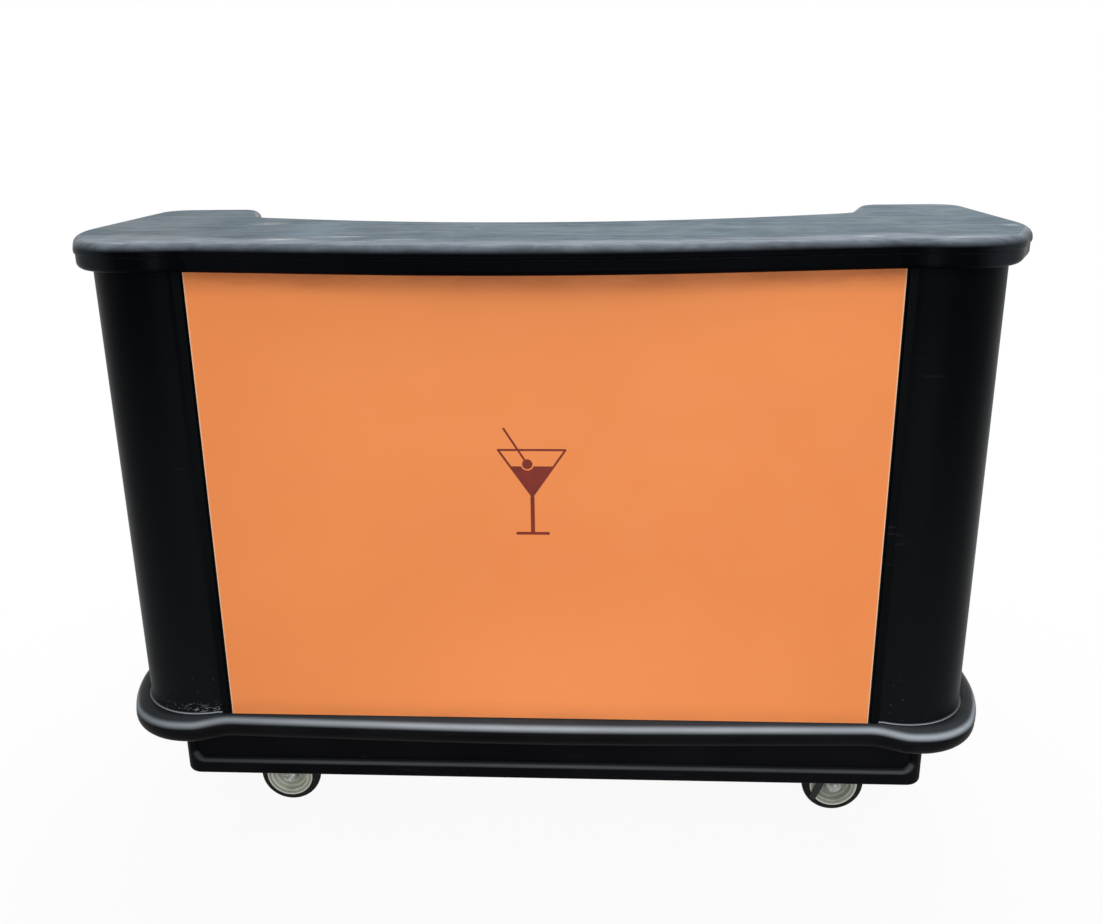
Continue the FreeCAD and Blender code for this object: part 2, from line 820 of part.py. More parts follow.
def make_bin_jacket():
    half_x = bin_half + jacket_thickness
    half_y = bin_width / 2 + jacket_thickness
    outside = rounded_box(-half_x, half_x, bin_middle_y - half_y, bin_middle_y + half_y,
                          jacket_bottom, deck_low, jacket_corner_radius)
    inner_x = bin_half + fit_gap
    inner_y = bin_width / 2 + fit_gap
    inside = rounded_box(-inner_x, inner_x, bin_middle_y - inner_y, bin_middle_y + inner_y,
                         bin_floor, deck_low + overrun, bin_corner_radius + fit_gap)
    hole = rod(drain_pipe_radius + fit_gap, vec(0, bin_middle_y, jacket_bottom - overrun), z_axis,
               jacket_thickness + overrun * 2)
    return outside.cut(inside).cut(hole)


def make_cover_tracks():
    half = bin_half + track_overlength
    tracks = []
    for side in (-1, 1):
        inner = bin_middle_y + side * (bin_width / 2 + bin_flange - track_width)
        outer = inner + side * track_width
        rail = block(-half, half, min(inner, outer), max(inner, outer),
                     bin_flange_top, bin_flange_top + track_height)
        slot_end = inner + side * track_slot_depth
        start = inner - side * overrun
        for bottom in (cover_low_bottom, cover_high_bottom):
            slot = block(-half - overrun, half + overrun, min(start, slot_end),
                         max(start, slot_end), bottom - fit_gap, bottom + cover_thickness + fit_gap)
            rail = rail.cut(slot)
        tracks.append(rail)
    return solids_of(tracks)


def make_cover(bottom):
    """Flat sliding cover over half of the bin, with a finger hole near its free end."""
    half_y = bin_width / 2 + bin_flange - track_width + track_slot_depth - fit_gap
    free_end = cover_overlap / 2
    plate = rounded_box(-bin_half, free_end, bin_middle_y - half_y, bin_middle_y + half_y,
                        bottom, bottom + cover_thickness, cover_corner_radius)
    hole = rod(cover_finger_radius, vec(free_end - cover_finger_inset, bin_middle_y,
               bottom - overrun), z_axis, cover_thickness + overrun * 2)
    return plate.cut(hole)


def make_drain_fitting():
    """Tailpiece whose flange ends in a grid of small holes, and its lock nut."""
    seat = bin_floor + bin_wall
    middle = vec(0, bin_middle_y)
    flange = rod(drain_flange_radius, middle + z_axis * seat, z_axis, drain_flange_thickness)
    pipe = rod(drain_pipe_radius, middle + z_axis * valve_top, z_axis, seat - valve_top)
    grid_low = seat + drain_flange_thickness - grid_thickness
    bore = rod(drain_bore_radius, middle + z_axis * (valve_top - overrun), z_axis,
               grid_low - valve_top + overrun)
    holes = []
    for share, count in zip(grid_ring_shares, grid_ring_counts):
        for index in range(count):
            turn = 2 * math.pi * index / count
            aside = vec(math.cos(turn), math.sin(turn)) * (share * drain_bore_radius)
            holes.append(rod(grid_hole_radius, middle + aside + z_axis * (grid_low - overrun), z_axis,
                             grid_thickness + overrun * 2))
    nut = hexagon(drain_nut_radius, middle + z_axis * valve_top, z_axis, drain_nut_height)
    nut = nut.cut(rod(drain_pipe_radius, middle + z_axis * (valve_top - overrun), z_axis,
                      drain_nut_height + overrun * 2))
    tailpiece = flange.fuse(pipe).removeSplitter().cut(solids_of([bore] + holes))
    return solids_of([tailpiece, nut])


def make_valve_body():
    middle = vec(0, bin_middle_y)
    bottom = valve_top - valve_height
    body = rod(valve_radius, middle + z_axis * bottom, z_axis, valve_height)
    spigot = rod(spigot_radius, middle + z_axis * (bottom - spigot_length), z_axis, spigot_length)
    boss = rod(stem_radius * 2, middle + z_axis * valve_middle, y_axis, valve_radius + overrun)
    body = body.fuse(spigot).fuse(boss).removeSplitter()
    bore = rod(drain_bore_radius, middle + z_axis * (bottom - spigot_length - overrun), z_axis,
               valve_height + spigot_length + overrun * 2)
    cavity = Part.makeSphere(valve_ball_radius + running_gap, middle + z_axis * valve_middle)
    stem_hole = rod(stem_radius + running_gap, middle + z_axis * valve_middle, y_axis,
                    valve_radius + overrun * 2)
    return body.cut(bore).cut(cavity).cut(stem_hole)


def make_valve_ball():
    """Closed ball: its bore lies along X while the lever points along +X."""
    centre = vec(0, bin_middle_y, valve_middle)
    ball = Part.makeSphere(valve_ball_radius, centre)
    bore = rod(drain_bore_radius, centre - x_axis * valve_radius, x_axis, valve_radius * 2)
    socket = rod(stem_radius, centre + y_axis * (valve_ball_radius - stem_sink), y_axis, stem_sink)
    return ball.cut(bore).cut(socket)


def make_valve_lever():
    centre = vec(0, bin_middle_y, valve_middle)
    stem_start = valve_ball_radius - stem_sink
    stem_end = valve_radius + stem_reach
    stem = rod(stem_radius, centre + y_axis * stem_start, y_axis, stem_end - stem_start)
    grip_low = bin_middle_y + stem_end
    grip = link_y((0.0, valve_middle), (lever_length, valve_middle), lever_width,
                  grip_low, grip_low + lever_thickness)
    knob = rod(lever_knob_radius, vec(lever_length, grip_low, valve_middle), y_axis,
               lever_thickness * 2)
    return stem.multiFuse([grip, knob]).removeSplitter()


def make_well(side):
    return tub(side * well_x, bin_middle_y, well_length, well_width, well_depth,
               well_wall, well_corner_radius, well_flange)


def rail_screw_places():
    height = deck_height - rail_screw_drop
    return [vec(share * rail_half, deck_rear_y, height) for share in rail_screw_shares]


def make_speed_rail():
    """Bent sheet trough with closed ends, a back flange and a round front bar."""
    back = deck_rear_y
    front = back + rail_depth
    top = deck_height - rail_top_drop
    low = top - rail_back_height
    lip = low + rail_front_height
    inner_radius = rail_bend_radius - rail_sheet
    profile = [(back, top, 0.0), (back, low, rail_bend_radius), (front, low, rail_bend_radius),
               (front, lip, 0.0), (front - rail_sheet, lip, 0.0),
               (front - rail_sheet, low + rail_sheet, inner_radius),
               (back + rail_sheet, low + rail_sheet, inner_radius),
               (back + rail_sheet, top, 0.0)]
    face = outline(profile, -rail_half)
    trough = face.extrude(z_axis * (rail_half * 2))
    trough = turned_to_x(trough)
    ends = []
    for start in (-rail_half, rail_half - rail_sheet):
        end_face = outline([(back, lip, 0.0), (back, low, rail_bend_radius),
                            (front, low, rail_bend_radius), (front, lip, 0.0)], start)
        ends.append(turned_to_x(end_face.extrude(z_axis * rail_sheet)))
    bar = rod(rail_bar_radius, vec(-rail_half, front - rail_bar_radius, lip), x_axis,
              rail_half * 2)
    rail = trough.multiFuse(ends + [bar]).removeSplitter()
    holes = [rod(screw_radius + screw_hole_gap, place - y_axis * overrun, y_axis, overrun * 2)
             for place in rail_screw_places()]
    return rail.cut(solids_of(holes))


def turned_to_x(shape):
    """Turn a shape drawn over (y, z) and extruded along its third axis so that it lies on X."""
    return shape.rotated(vec(0, 0), x_axis + y_axis + z_axis, third_of_a_turn)


def make_rail_screws():
    return solids_of([screw(place + y_axis * rail_sheet, y_axis * -1)
                      for place in rail_screw_places()])


def make_shelf():
    half = bay_half - drop_in_gap
    front = panel_y + shelf_front
    rear = panel_y + shelf_rear
    plate = block(-half, half, front, rear, shelf_bottom, shelf_height)
    lip = block(-half, half, rear - shelf_lip_thickness, rear, shelf_bottom,
                shelf_height + shelf_lip_height)
    return plate.fuse(lip).removeSplitter()


def make_runners():
    runner = block(bay_half - runner_width, bay_half, panel_y + shelf_front,
                   panel_y + shelf_rear - column_inner_radius, shelf_bottom - runner_height - fit_gap,
                   shelf_bottom - fit_gap)
    return solids_of([runner, mirrored(runner)])


# Casters

def caster_spots():
    """Name, mounting place on the plinth's underside and wheel offset of each caster."""
    front = panel_y + caster_front
    rear = panel_y + caster_rear
    return [
        ("front_left", vec(-caster_x, front, caster_height), 0.0),
        ("rear_left", vec(-caster_x, rear, caster_height), 0.0),
        ("front_right", vec(caster_x, front, caster_height), swivel_trail),
        ("rear_right", vec(caster_x, rear, caster_height), swivel_trail),
    ]


def plate_bolt_places():
    places = []
    for _, spot, _ in caster_spots():
        for side_x in (-1, 1):
            for side_y in (-1, 1):
                places.append(spot + vec(side_x * plate_bolt_spacing_x / 2,
                                         side_y * plate_bolt_spacing_y / 2))
    return places


def make_caster_bolts():
    bolts = []
    for place in plate_bolt_places():
        under = place - z_axis * plate_thickness
        head = hexagon(bolt_head_radius, under - z_axis * bolt_head_height, z_axis,
                       bolt_head_height)
        shank = rod(bolt_radius, under, z_axis, plate_thickness + plinth_floor)
        nut = hexagon(bolt_head_radius, place + z_axis * plinth_floor, z_axis, bolt_head_height)
        bolts.append(head.multiFuse([shank, nut]).removeSplitter())
    return solids_of(bolts)


def race_ring(middle, z_low, z_high, groove_z):
    ring = rod(race_radius, vec(middle.x, middle.y, z_low), z_axis, z_high - z_low)
    groove = Part.makeTorus(race_groove_radius, ball_radius + running_gap,
                            vec(middle.x, middle.y, groove_z))
    return ring.cut(groove)


def ball_height():
    return (crown_high + race_lower_height + plate_bottom - race_upper_height) / 2


def make_plate(spot, swivels):
    plate = rounded_box(spot.x - plate_length / 2, spot.x + plate_length / 2,
                        spot.y - plate_width / 2, spot.y + plate_width / 2,
                        plate_bottom, caster_height, plate_corner_radius)
    if swivels:
        cup = race_ring(spot, plate_bottom - race_upper_height, plate_bottom, ball_height())
        plate = plate.fuse(cup).removeSplitter()
    cuts = []
    for side_x in (-1, 1):
        for side_y in (-1, 1):
            place = spot + vec(side_x * plate_bolt_spacing_x / 2, side_y * plate_bolt_spacing_y / 2)
            cuts.append(rod(bolt_radius + screw_hole_gap, place - z_axis * (plate_thickness
                        + overrun), z_axis, plate_thickness + overrun * 2))
    if swivels:
        cuts.append(rod(kingpin_radius, spot - z_axis * (caster_height - crown_low), z_axis,
                        caster_height - crown_low + overrun))
    return plate.cut(solids_of(cuts))


def fork_leg(spot, wheel_x, top, y_low):
    """One side of the fork: wide at the crown, round about the axle."""
    half = fork_crown_length / 2
    foot = fork_foot_radius
    y_high = y_low + fork_sheet
    taper = prism_y([(spot.x - half, top), (spot.x + half, top), (wheel_x + foot, wheel_radius),
                     (wheel_x - foot, wheel_radius)], y_low, y_high)
    disc = rod(foot, vec(wheel_x, y_low, wheel_radius), y_axis, fork_sheet)
    return taper.fuse(disc).removeSplitter()


def make_fork(spot, trail):
    wheel_x = spot.x + trail
    top = crown_high if trail > 0 else plate_bottom
    half = fork_crown_length / 2
    reach = fork_gap + fork_sheet
    crown = block(spot.x - half, spot.x + half, spot.y - reach, spot.y + reach,
                  top - fork_sheet, top)
    legs = [fork_leg(spot, wheel_x, top, spot.y + fork_gap),
            fork_leg(spot, wheel_x, top, spot.y - reach)]
    fork = crown.multiFuse(legs).removeSplitter()
    cuts = [rod(axle_radius, vec(wheel_x, spot.y - reach - overrun, wheel_radius), y_axis,
                (reach + overrun) * 2)]
    if trail > 0:
        cup = race_ring(spot, crown_high, crown_high + race_lower_height, ball_height())
        fork = fork.fuse(cup).removeSplitter()
        cuts.append(rod(kingpin_radius + running_gap, vec(spot.x, spot.y, crown_low - overrun),
                        z_axis, caster_height))
        pivot = brake_pivot(spot, wheel_x)
        cuts.append(rod(brake_pin_radius, vec(pivot[0], spot.y - reach - overrun, pivot[1]),
                        y_axis, fork_sheet + overrun * 2))
    return fork.cut(solids_of(cuts))


def make_kingpin(spot):
    head_low = crown_low - kingpin_head_height - running_gap
    head = rod(kingpin_head_radius, vec(spot.x, spot.y, head_low), z_axis, kingpin_head_height)
    head = head.makeFillet(kingpin_head_height / 2, edges_at(head, head_low))
    shank = rod(kingpin_radius, vec(spot.x, spot.y, head_low), z_axis, caster_height - head_low)
    return head.fuse(shank).removeSplitter()


def make_swivel_balls(spot):
    balls = []
    for index in range(ball_count):
        turn = 2 * math.pi * index / ball_count
        centre = vec(spot.x + race_groove_radius * math.cos(turn),
                     spot.y + race_groove_radius * math.sin(turn), ball_height())
        balls.append(Part.makeSphere(ball_radius, centre))
    return solids_of(balls)


def revolved_wheel(points, wheel_x, middle_y):
    """Ring turned about the wheel's axle from (radius, offset along the axle) points."""
    corners = [vec(wheel_x, middle_y + offset, wheel_radius + radius) for radius, offset in points]
    face = Part.Face(Part.makePolygon(corners + corners[:1]))
    return face.revolve(vec(wheel_x, middle_y, wheel_radius), y_axis, 360)


def make_tyre(wheel_x, middle_y):
    half = wheel_width / 2
    inner = wheel_radius - tyre_thickness
    tyre = tube(wheel_radius, inner, vec(wheel_x, middle_y - half, wheel_radius), y_axis,
                wheel_width)
    outer_edges = [edge for edge in tyre.Edges
                   if edge.BoundBox.YLength < edge_tolerance
                   and edge.BoundBox.XLength > inner * 2 + edge_tolerance]
    return tyre.makeFillet(tyre_edge_radius, outer_edges)


def make_core(wheel_x, middle_y):
    rim_outer = wheel_radius - tyre_thickness
    rim_inner = rim_outer - core_rim_thickness
    rim_half = core_rim_width / 2
    hub_half = core_hub_width / 2
    web_half = core_web_width / 2
    points = [(bush_radius, -hub_half), (core_hub_radius, -hub_half),
              (core_hub_radius + core_groove_radius, -web_half),
              (rim_inner - core_groove_radius, -web_half), (rim_inner, -rim_half),
              (rim_outer, -rim_half), (rim_outer, rim_half), (rim_inner, rim_half),
              (rim_inner - core_groove_radius, web_half),
              (core_hub_radius + core_groove_radius, web_half), (core_hub_radius, hub_half),
              (bush_radius, hub_half)]
    core = revolved_wheel(points, wheel_x, middle_y)
    ring_radius = core_hub_radius + (rim_inner - core_hub_radius) * core_groove_share
    for side in (-1, 1):
        bead = Part.makeTorus(ring_radius, core_groove_radius,
                              vec(wheel_x, middle_y + side * web_half, wheel_radius), y_axis)
        core = core.fuse(bead)
    inner = axle_radius + running_gap
    end = hub_half + (fork_gap - hub_half) / 2
    bush_points = [(inner, -end), (bush_flange_radius, -end), (bush_flange_radius, -hub_half),
                   (bush_radius, -hub_half), (bush_radius, hub_half),
                   (bush_flange_radius, hub_half), (bush_flange_radius, end), (inner, end)]
    bush = revolved_wheel(bush_points, wheel_x, middle_y)
    return solids_of([core.removeSplitter(), bush])


def make_axle(wheel_x, middle_y):
    """Bolt through the fork with a washer and a nut on the far side."""
    reach = fork_gap + fork_sheet
    seat = vec(wheel_x, middle_y - reach, wheel_radius)
    far = vec(wheel_x, middle_y + reach, wheel_radius)
    head = hexagon(axle_head_radius, seat - y_axis * axle_head_height, y_axis, axle_head_height)
    washer = rod(axle_washer_radius, far, y_axis, axle_washer_height)
    nut = hexagon(axle_head_radius, far + y_axis * axle_washer_height, y_axis, axle_head_height)
    tip = axle_washer_height + axle_head_height + fork_sheet / 2
    shank = rod(axle_radius, seat, y_axis, reach * 2 + tip)
    return head.multiFuse([washer, nut, shank]).removeSplitter()


def brake_pivot(spot, wheel_x):
    return (wheel_x - brake_pivot_back, wheel_radius + brake_pivot_rise)


def make_brake(spot, trail):
    """Side arm on the fork's outer face, with a foot pad across the wheel."""
    wheel_x = spot.x + trail
    pivot = brake_pivot(spot, wheel_x)
    tail = (wheel_x - brake_tail_back, wheel_radius - brake_tail_drop)
    pad = (wheel_x - brake_pad_back, wheel_radius + brake_pad_rise)
    face = spot.y - fork_gap - fork_sheet - fit_gap
    outer = face - brake_arm_thickness
    arms = [link_y(pivot, tail, brake_arm_width, outer, face),
            link_y(pivot, pad, brake_arm_width, outer, face)]
    treadle = block(pad[0] - brake_pad_length / 2, pad[0] + brake_pad_length / 2, outer,
                    spot.y + fork_gap, pad[1], pad[1] + brake_pad_thickness)
    brake = arms[0].multiFuse([arms[1], treadle]).removeSplitter()
    hole = rod(brake_pin_radius + running_gap, vec(pivot[0], outer - overrun, pivot[1]), y_axis,
               brake_arm_thickness + overrun * 2)
    return brake.cut(hole)


def make_brake_pin(spot, trail):
    pivot = brake_pivot(spot, spot.x + trail)
    inner = spot.y - fork_gap - fork_sheet / 2
    outer = spot.y - fork_gap - fork_sheet - fit_gap * 2 - brake_arm_thickness
    shank = rod(brake_pin_radius, vec(pivot[0], outer, pivot[1]), y_axis, inner - outer)
    head = rod(brake_pin_head_radius, vec(pivot[0], outer - brake_pin_head_height, pivot[1]),
               y_axis, brake_pin_head_height)
    return head.fuse(shank).removeSplitter()


# Every node and its shape

def all_nodes():
    column = make_column()
    retainer = make_retainer()
    nodes = {
        "counter_top": make_counter(),
        "counter_brackets": make_brackets(),
        "counter_screws": make_counter_screws(),
        "column_left": mirrored(column),
        "column_right": column,
        "front_wall": make_front_wall(),
        "front_panel": make_panel(),
        "panel_retainer_left": mirrored(retainer),
        "panel_retainer_right": retainer,
        "front_emblem": make_emblem(),
        "bumper_rail": make_bumper(),
        "column_foot_beads": make_foot_beads(),
        "base_deck": make_base_deck(),
        "base_plinth": make_plinth(),
        "work_deck": make_work_deck(),
        "deck_ledges": make_ledges(),
        "ice_bin_liner": make_bin_liner(),
        "ice_bin_jacket": make_bin_jacket(),
        "cover_tracks": make_cover_tracks(),
        "ice_bin_cover_lower": make_cover(cover_low_bottom),
        "ice_bin_cover_upper": make_cover(cover_high_bottom),
        "drain_fitting": make_drain_fitting(),
        "drain_valve_body": make_valve_body(),
        "drain_valve_ball": make_valve_ball(),
        "drain_valve_lever": make_valve_lever(),
        "bottle_well_left": make_well(-1),
        "bottle_well_right": make_well(1),
        "speed_rail": make_speed_rail(),
        "speed_rail_screws": make_rail_screws(),
        "storage_shelf": make_shelf(),
        "shelf_runners": make_runners(),
        "caster_bolts": make_caster_bolts(),
    }
    for name, spot, trail in caster_spots():
        wheel_x = spot.x + trail
        nodes["caster_plate_" + name] = make_plate(spot, trail > 0)
        nodes["caster_fork_" + name] = make_fork(spot, trail)
        nodes["wheel_core_" + name] = make_core(wheel_x, spot.y)
        nodes["wheel_tyre_" + name] = make_tyre(wheel_x, spot.y)
        axle = make_axle(wheel_x, spot.y)
        if trail > 0:
            nodes["kingpin_" + name] = make_kingpin(spot)
            nodes["swivel_balls_" + name] = make_swivel_balls(spot)
            nodes["brake_pedal_" + name] = make_brake(spot, trail)
            axle = solids_of([axle, make_brake_pin(spot, trail)])
        nodes["axle_" + name] = axle
    return nodes


os.makedirs("parts", exist_ok=True)
for node_name, node_shape in all_nodes().items():
    node_shape.exportStep("parts/" + node_name + ".step")
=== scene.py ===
from collections import namedtuple
import json
import math

import bmesh
import bpy
from mathutils import Matrix, Vector


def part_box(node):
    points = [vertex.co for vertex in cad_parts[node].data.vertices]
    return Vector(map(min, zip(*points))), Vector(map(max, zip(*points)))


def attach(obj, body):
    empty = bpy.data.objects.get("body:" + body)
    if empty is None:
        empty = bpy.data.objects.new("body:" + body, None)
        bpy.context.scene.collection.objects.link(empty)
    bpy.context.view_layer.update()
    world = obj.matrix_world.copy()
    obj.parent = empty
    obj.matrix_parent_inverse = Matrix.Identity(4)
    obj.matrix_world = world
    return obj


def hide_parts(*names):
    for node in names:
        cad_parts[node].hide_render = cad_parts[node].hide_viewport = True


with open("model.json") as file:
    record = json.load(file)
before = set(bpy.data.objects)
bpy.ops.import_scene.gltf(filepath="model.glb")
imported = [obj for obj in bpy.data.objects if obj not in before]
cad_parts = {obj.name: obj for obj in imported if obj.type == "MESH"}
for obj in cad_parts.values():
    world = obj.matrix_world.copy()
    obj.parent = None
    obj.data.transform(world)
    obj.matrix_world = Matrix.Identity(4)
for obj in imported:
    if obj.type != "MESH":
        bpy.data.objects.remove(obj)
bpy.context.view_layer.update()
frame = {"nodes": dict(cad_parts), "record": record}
nodes = frame["nodes"]


# Camera at the photograph's place: metres and radians, and pixels of the photograph

camera_place = (0.11399, -2.06759, 1.42006)
yaw, pitch, roll = -0.053744, 0.312322, -0.012740
photo_width, focal_pixels = 1102.0, 1092.297
film_width = 36.0  # millimetres
nearest, farthest = 0.05, 60.0


def make_camera():
    ahead = Vector((math.sin(yaw) * math.cos(pitch), math.cos(yaw) * math.cos(pitch), -math.sin(pitch)))
    right = Vector((math.cos(yaw), -math.sin(yaw), 0.0))
    up = right.cross(ahead)
    rolled_right = math.cos(roll) * right + math.sin(roll) * up
    rolled_up = -math.sin(roll) * right + math.cos(roll) * up
    turn = Matrix((rolled_right, rolled_up, -ahead)).transposed()
    data = bpy.data.cameras.new("photo_camera")
    data.sensor_width = film_width
    data.lens = film_width * focal_pixels / photo_width
    data.clip_start, data.clip_end = nearest, farthest
    camera = bpy.data.objects.new("photo_camera", data)
    camera.matrix_world = Matrix.Translation(camera_place) @ turn.to_4x4()
    bpy.context.scene.collection.objects.link(camera)
    bpy.context.scene.camera = camera


# Node trees

first_colour, second_colour, mixed_colour = 6, 7, 2  # sockets of a mix node set to colours


def colour(red, green, blue):
    """A colour given as it looks on a screen, 0 to 255."""
    linear = []
    for value in (red, green, blue):
        share = value / 255.0
        linear.append(share / 12.92 if share <= 0.04045 else ((share + 0.055) / 1.055) ** 2.4)
    return (*linear, 1.0)


class Look:
    """A procedural material. Its textures are placed in the row frame, in metres."""

    def __init__(self, name, **constants):
        self.material = bpy.data.materials.new(name)
        self.material.use_nodes = True
        self.tree = self.material.node_tree
        self.shader = self.tree.nodes["Principled BSDF"]
        self.place = self.tree.nodes.new("ShaderNodeTexCoord").outputs["Object"]
        self.normal_input = None
        for key, value in constants.items():
            self.shader.inputs[key.replace("_", " ")].default_value = value

    def node(self, kind, inputs=None, **settings):
        made = self.tree.nodes.new(kind)
        for key, value in settings.items():
            setattr(made, key, value)
        for key, value in (inputs or {}).items():
            self.feed(made.inputs[key], value)
        return made

    def feed(self, socket, value):
        if isinstance(value, bpy.types.NodeSocket):
            self.tree.links.new(value, socket)
        else:
            socket.default_value = value

    def stretched(self, scale, offset=(0.0, 0.0, 0.0)):
        made = self.node("ShaderNodeMapping", {"Vector": self.place, "Scale": scale, "Location": offset})
        return made.outputs["Vector"]

    def noise(self, scale, detail=3.0, rough=0.5, at=None, distortion=0.0):
        inputs = {"Vector": at or self.place, "Scale": scale, "Detail": detail,
                  "Roughness": rough, "Distortion": distortion}
        return self.node("ShaderNodeTexNoise", inputs).outputs["Fac"]

    def cells(self, scale, at=None, output="Distance"):
        made = self.node("ShaderNodeTexVoronoi", {"Vector": at or self.place, "Scale": scale})
        return made.outputs[output]

    def ramp(self, value, low, high, to_low=0.0, to_high=1.0, smooth=True):
        inputs = {"Value": value, "From Min": low, "From Max": high, "To Min": to_low, "To Max": to_high}
        kind = "SMOOTHSTEP" if smooth else "LINEAR"
        return self.node("ShaderNodeMapRange", inputs, interpolation_type=kind).outputs["Result"]

    def maths(self, kind, first, second=0.0):
        return self.node("ShaderNodeMath", {0: first, 1: second}, operation=kind).outputs["Value"]

    def times(self, *values):
        made = values[0]
        for value in values[1:]:
            made = self.maths("MULTIPLY", made, value)
        return made

    def axis(self, name, of="place"):
        source = self.place if of == "place" else self.node("ShaderNodeNewGeometry").outputs["Normal"]
        return self.node("ShaderNodeSeparateXYZ", {"Vector": source}).outputs[name]

    def blend(self, share, first, second, kind="MIX"):
        made = self.node("ShaderNodeMix", {"Factor": share}, data_type="RGBA", blend_type=kind)
        self.feed(made.inputs[first_colour], first)
        self.feed(made.inputs[second_colour], second)
        return made.outputs[mixed_colour]

    def bump(self, height, depth, strength=1.0):
        inputs = {"Height": height, "Distance": depth, "Strength": strength}
        if self.normal_input is not None:
            inputs["Normal"] = self.normal_input
        self.normal_input = self.node("ShaderNodeBump", inputs).outputs["Normal"]

    def done(self, base=None, rough=None, metal=None):
        if base is not None:
            self.feed(self.shader.inputs["Base Color"], base)
        if rough is not None:
            self.feed(self.shader.inputs["Roughness"], rough)
        if metal is not None:
            self.feed(self.shader.inputs["Metallic"], metal)
        if self.normal_input is not None:
            self.feed(self.shader.inputs["Normal"], self.normal_input)
        return self.material


# Materials. Places and heights are in metres, and slopes are the upward share of a face's normal.

# A painted highlight on sloping faces, in a pale colour. It grows over the slopes of the rise and fades over
# those of the fall, from its strength to the strength that it keeps on level faces.
RidgeHighlight = namedtuple("RidgeHighlight", "colour rise_from rise_to fall_from fall_to strength level_strength")

# Dust specks, all there at the low height and gone at the high one, and the middle of a scratched place
Dust = namedtuple("Dust", "low high scratched")

# Where painted light and shade, wear and dirt are least and where they are full: places along X, heights,
# distances from the middle of the scratches, and distances in from an edge of the panel. A single value says
# how far a tone reaches.
# Painted light is dimmer towards the left: the ridge highlight fades in between these places
highlight_left, highlight_right = -0.85, -0.15
# The counter's painted reflection is dimmer towards the left, between these places
reflection_left, reflection_right = -0.80, 0.40
# Painted shade on the wheel cores grows towards the right between these places
core_shade_left, core_shade_right = -0.3, 0.3
# The painted highlight along the bead comes in over this rise
bead_rise = 0.0012
# Painted shade on the body: lighter downwards between these heights, darkest up under the counter
painted_shade_top, painted_shade_bottom = 1.10, 0.36
scratches_end, scratches_full = 0.095, 0.035
scratches_top, scratches_below = 0.352, 0.338
# How far behind the counter's front edge the painted highlight reaches
edge_highlight_reach = 0.088
# The painted pool of light low in the middle of the panel
light_pool_half_width, light_pool_height = 0.60, 0.36
cut_begins, cut_full = 0.0030, 0.0012
# Painted shade along the panel's foot, above the bumper
foot_shade_height = 0.040
# Painted shadow along the panel's top, under the counter
counter_shadow_begins, counter_shadow_full = 0.050, 0.006


def ridge_highlight_share(look, ridge_highlight, bead):
    """How far the painted highlight covers: by the slope, painted dimmer to the left, and where there is a
    bead, less on faces turned sideways and all over the bead's front.
    """
    upward = look.axis("Z", "normal")
    rise = look.ramp(upward, ridge_highlight.rise_from, ridge_highlight.rise_to)
    fall = look.ramp(upward, ridge_highlight.fall_from, ridge_highlight.fall_to, 1.0, ridge_highlight.level_strength / ridge_highlight.strength)
    uneven = look.ramp(look.noise(1.0, 5.0, 0.6, look.stretched((5.0, 24.0, 24.0))), 0.3, 0.7, 0.80, 1.0)
    less_light_left = look.ramp(look.axis("X"), highlight_left, highlight_right, 0.54, 0.92)
    painted_highlight = look.times(rise, fall, uneven, ridge_highlight.strength, less_light_left)
    if bead is None:
        return painted_highlight
    forward = look.ramp(look.axis("Y", "normal"), 0.10, -0.45, 0.35, 1.0)
    # Painted highlight along the bead's front
    bead_highlight = look.times(look.ramp(look.axis("Z"), bead, bead + bead_rise, 0.0, 0.62), uneven, forward)
    return look.maths("MAXIMUM", look.times(painted_highlight, forward), bead_highlight)


def shaded_and_dusted(look, base, dust):
    """The base painted lighter downwards, a painted shade up under the counter, with a painted sheen on faces
    turned outwards, and dust specks and scratches low down.
    """
    # Painted shade: darkest up under the counter, lighter downwards
    painted_shade = look.ramp(look.axis("Z"), painted_shade_top, painted_shade_bottom, 0.0, 0.5, False)
    base = look.blend(painted_shade, base, colour(26, 29, 31))
    # Painted sheen on the faces turned outwards
    outward = look.times(look.axis("X", "normal"), look.maths("SIGN", look.axis("X")))
    base = look.blend(look.ramp(outward, 0.55, 0.98, 0.0, 0.8), base, colour(34, 36, 37))
    speck = look.ramp(look.cells(160.0), 0.16, 0.10)
    near_foot = look.ramp(look.axis("Z"), dust.high, dust.low)
    gate = look.ramp(look.noise(60.0, 3.0), 0.54, 0.64)
    base = look.blend(look.times(speck, near_foot, gate, 0.55), base, colour(150, 152, 150))
    apart = look.node("ShaderNodeVectorMath", {0: look.place, 1: dust.scratched}, operation="DISTANCE")
    around = look.ramp(apart.outputs["Value"], scratches_end, scratches_full)
    below = look.ramp(look.axis("Z"), scratches_top, scratches_below)
    scratch_at = look.stretched((90.0, 30.0, 420.0), (0.3, 0.0, 0.2))
    scratch = look.ramp(look.noise(1.0, 4.0, 0.6, scratch_at, 1.2), 0.60, 0.66)
    return look.blend(look.times(scratch, around, below, 0.75), base, colour(190, 192, 192))


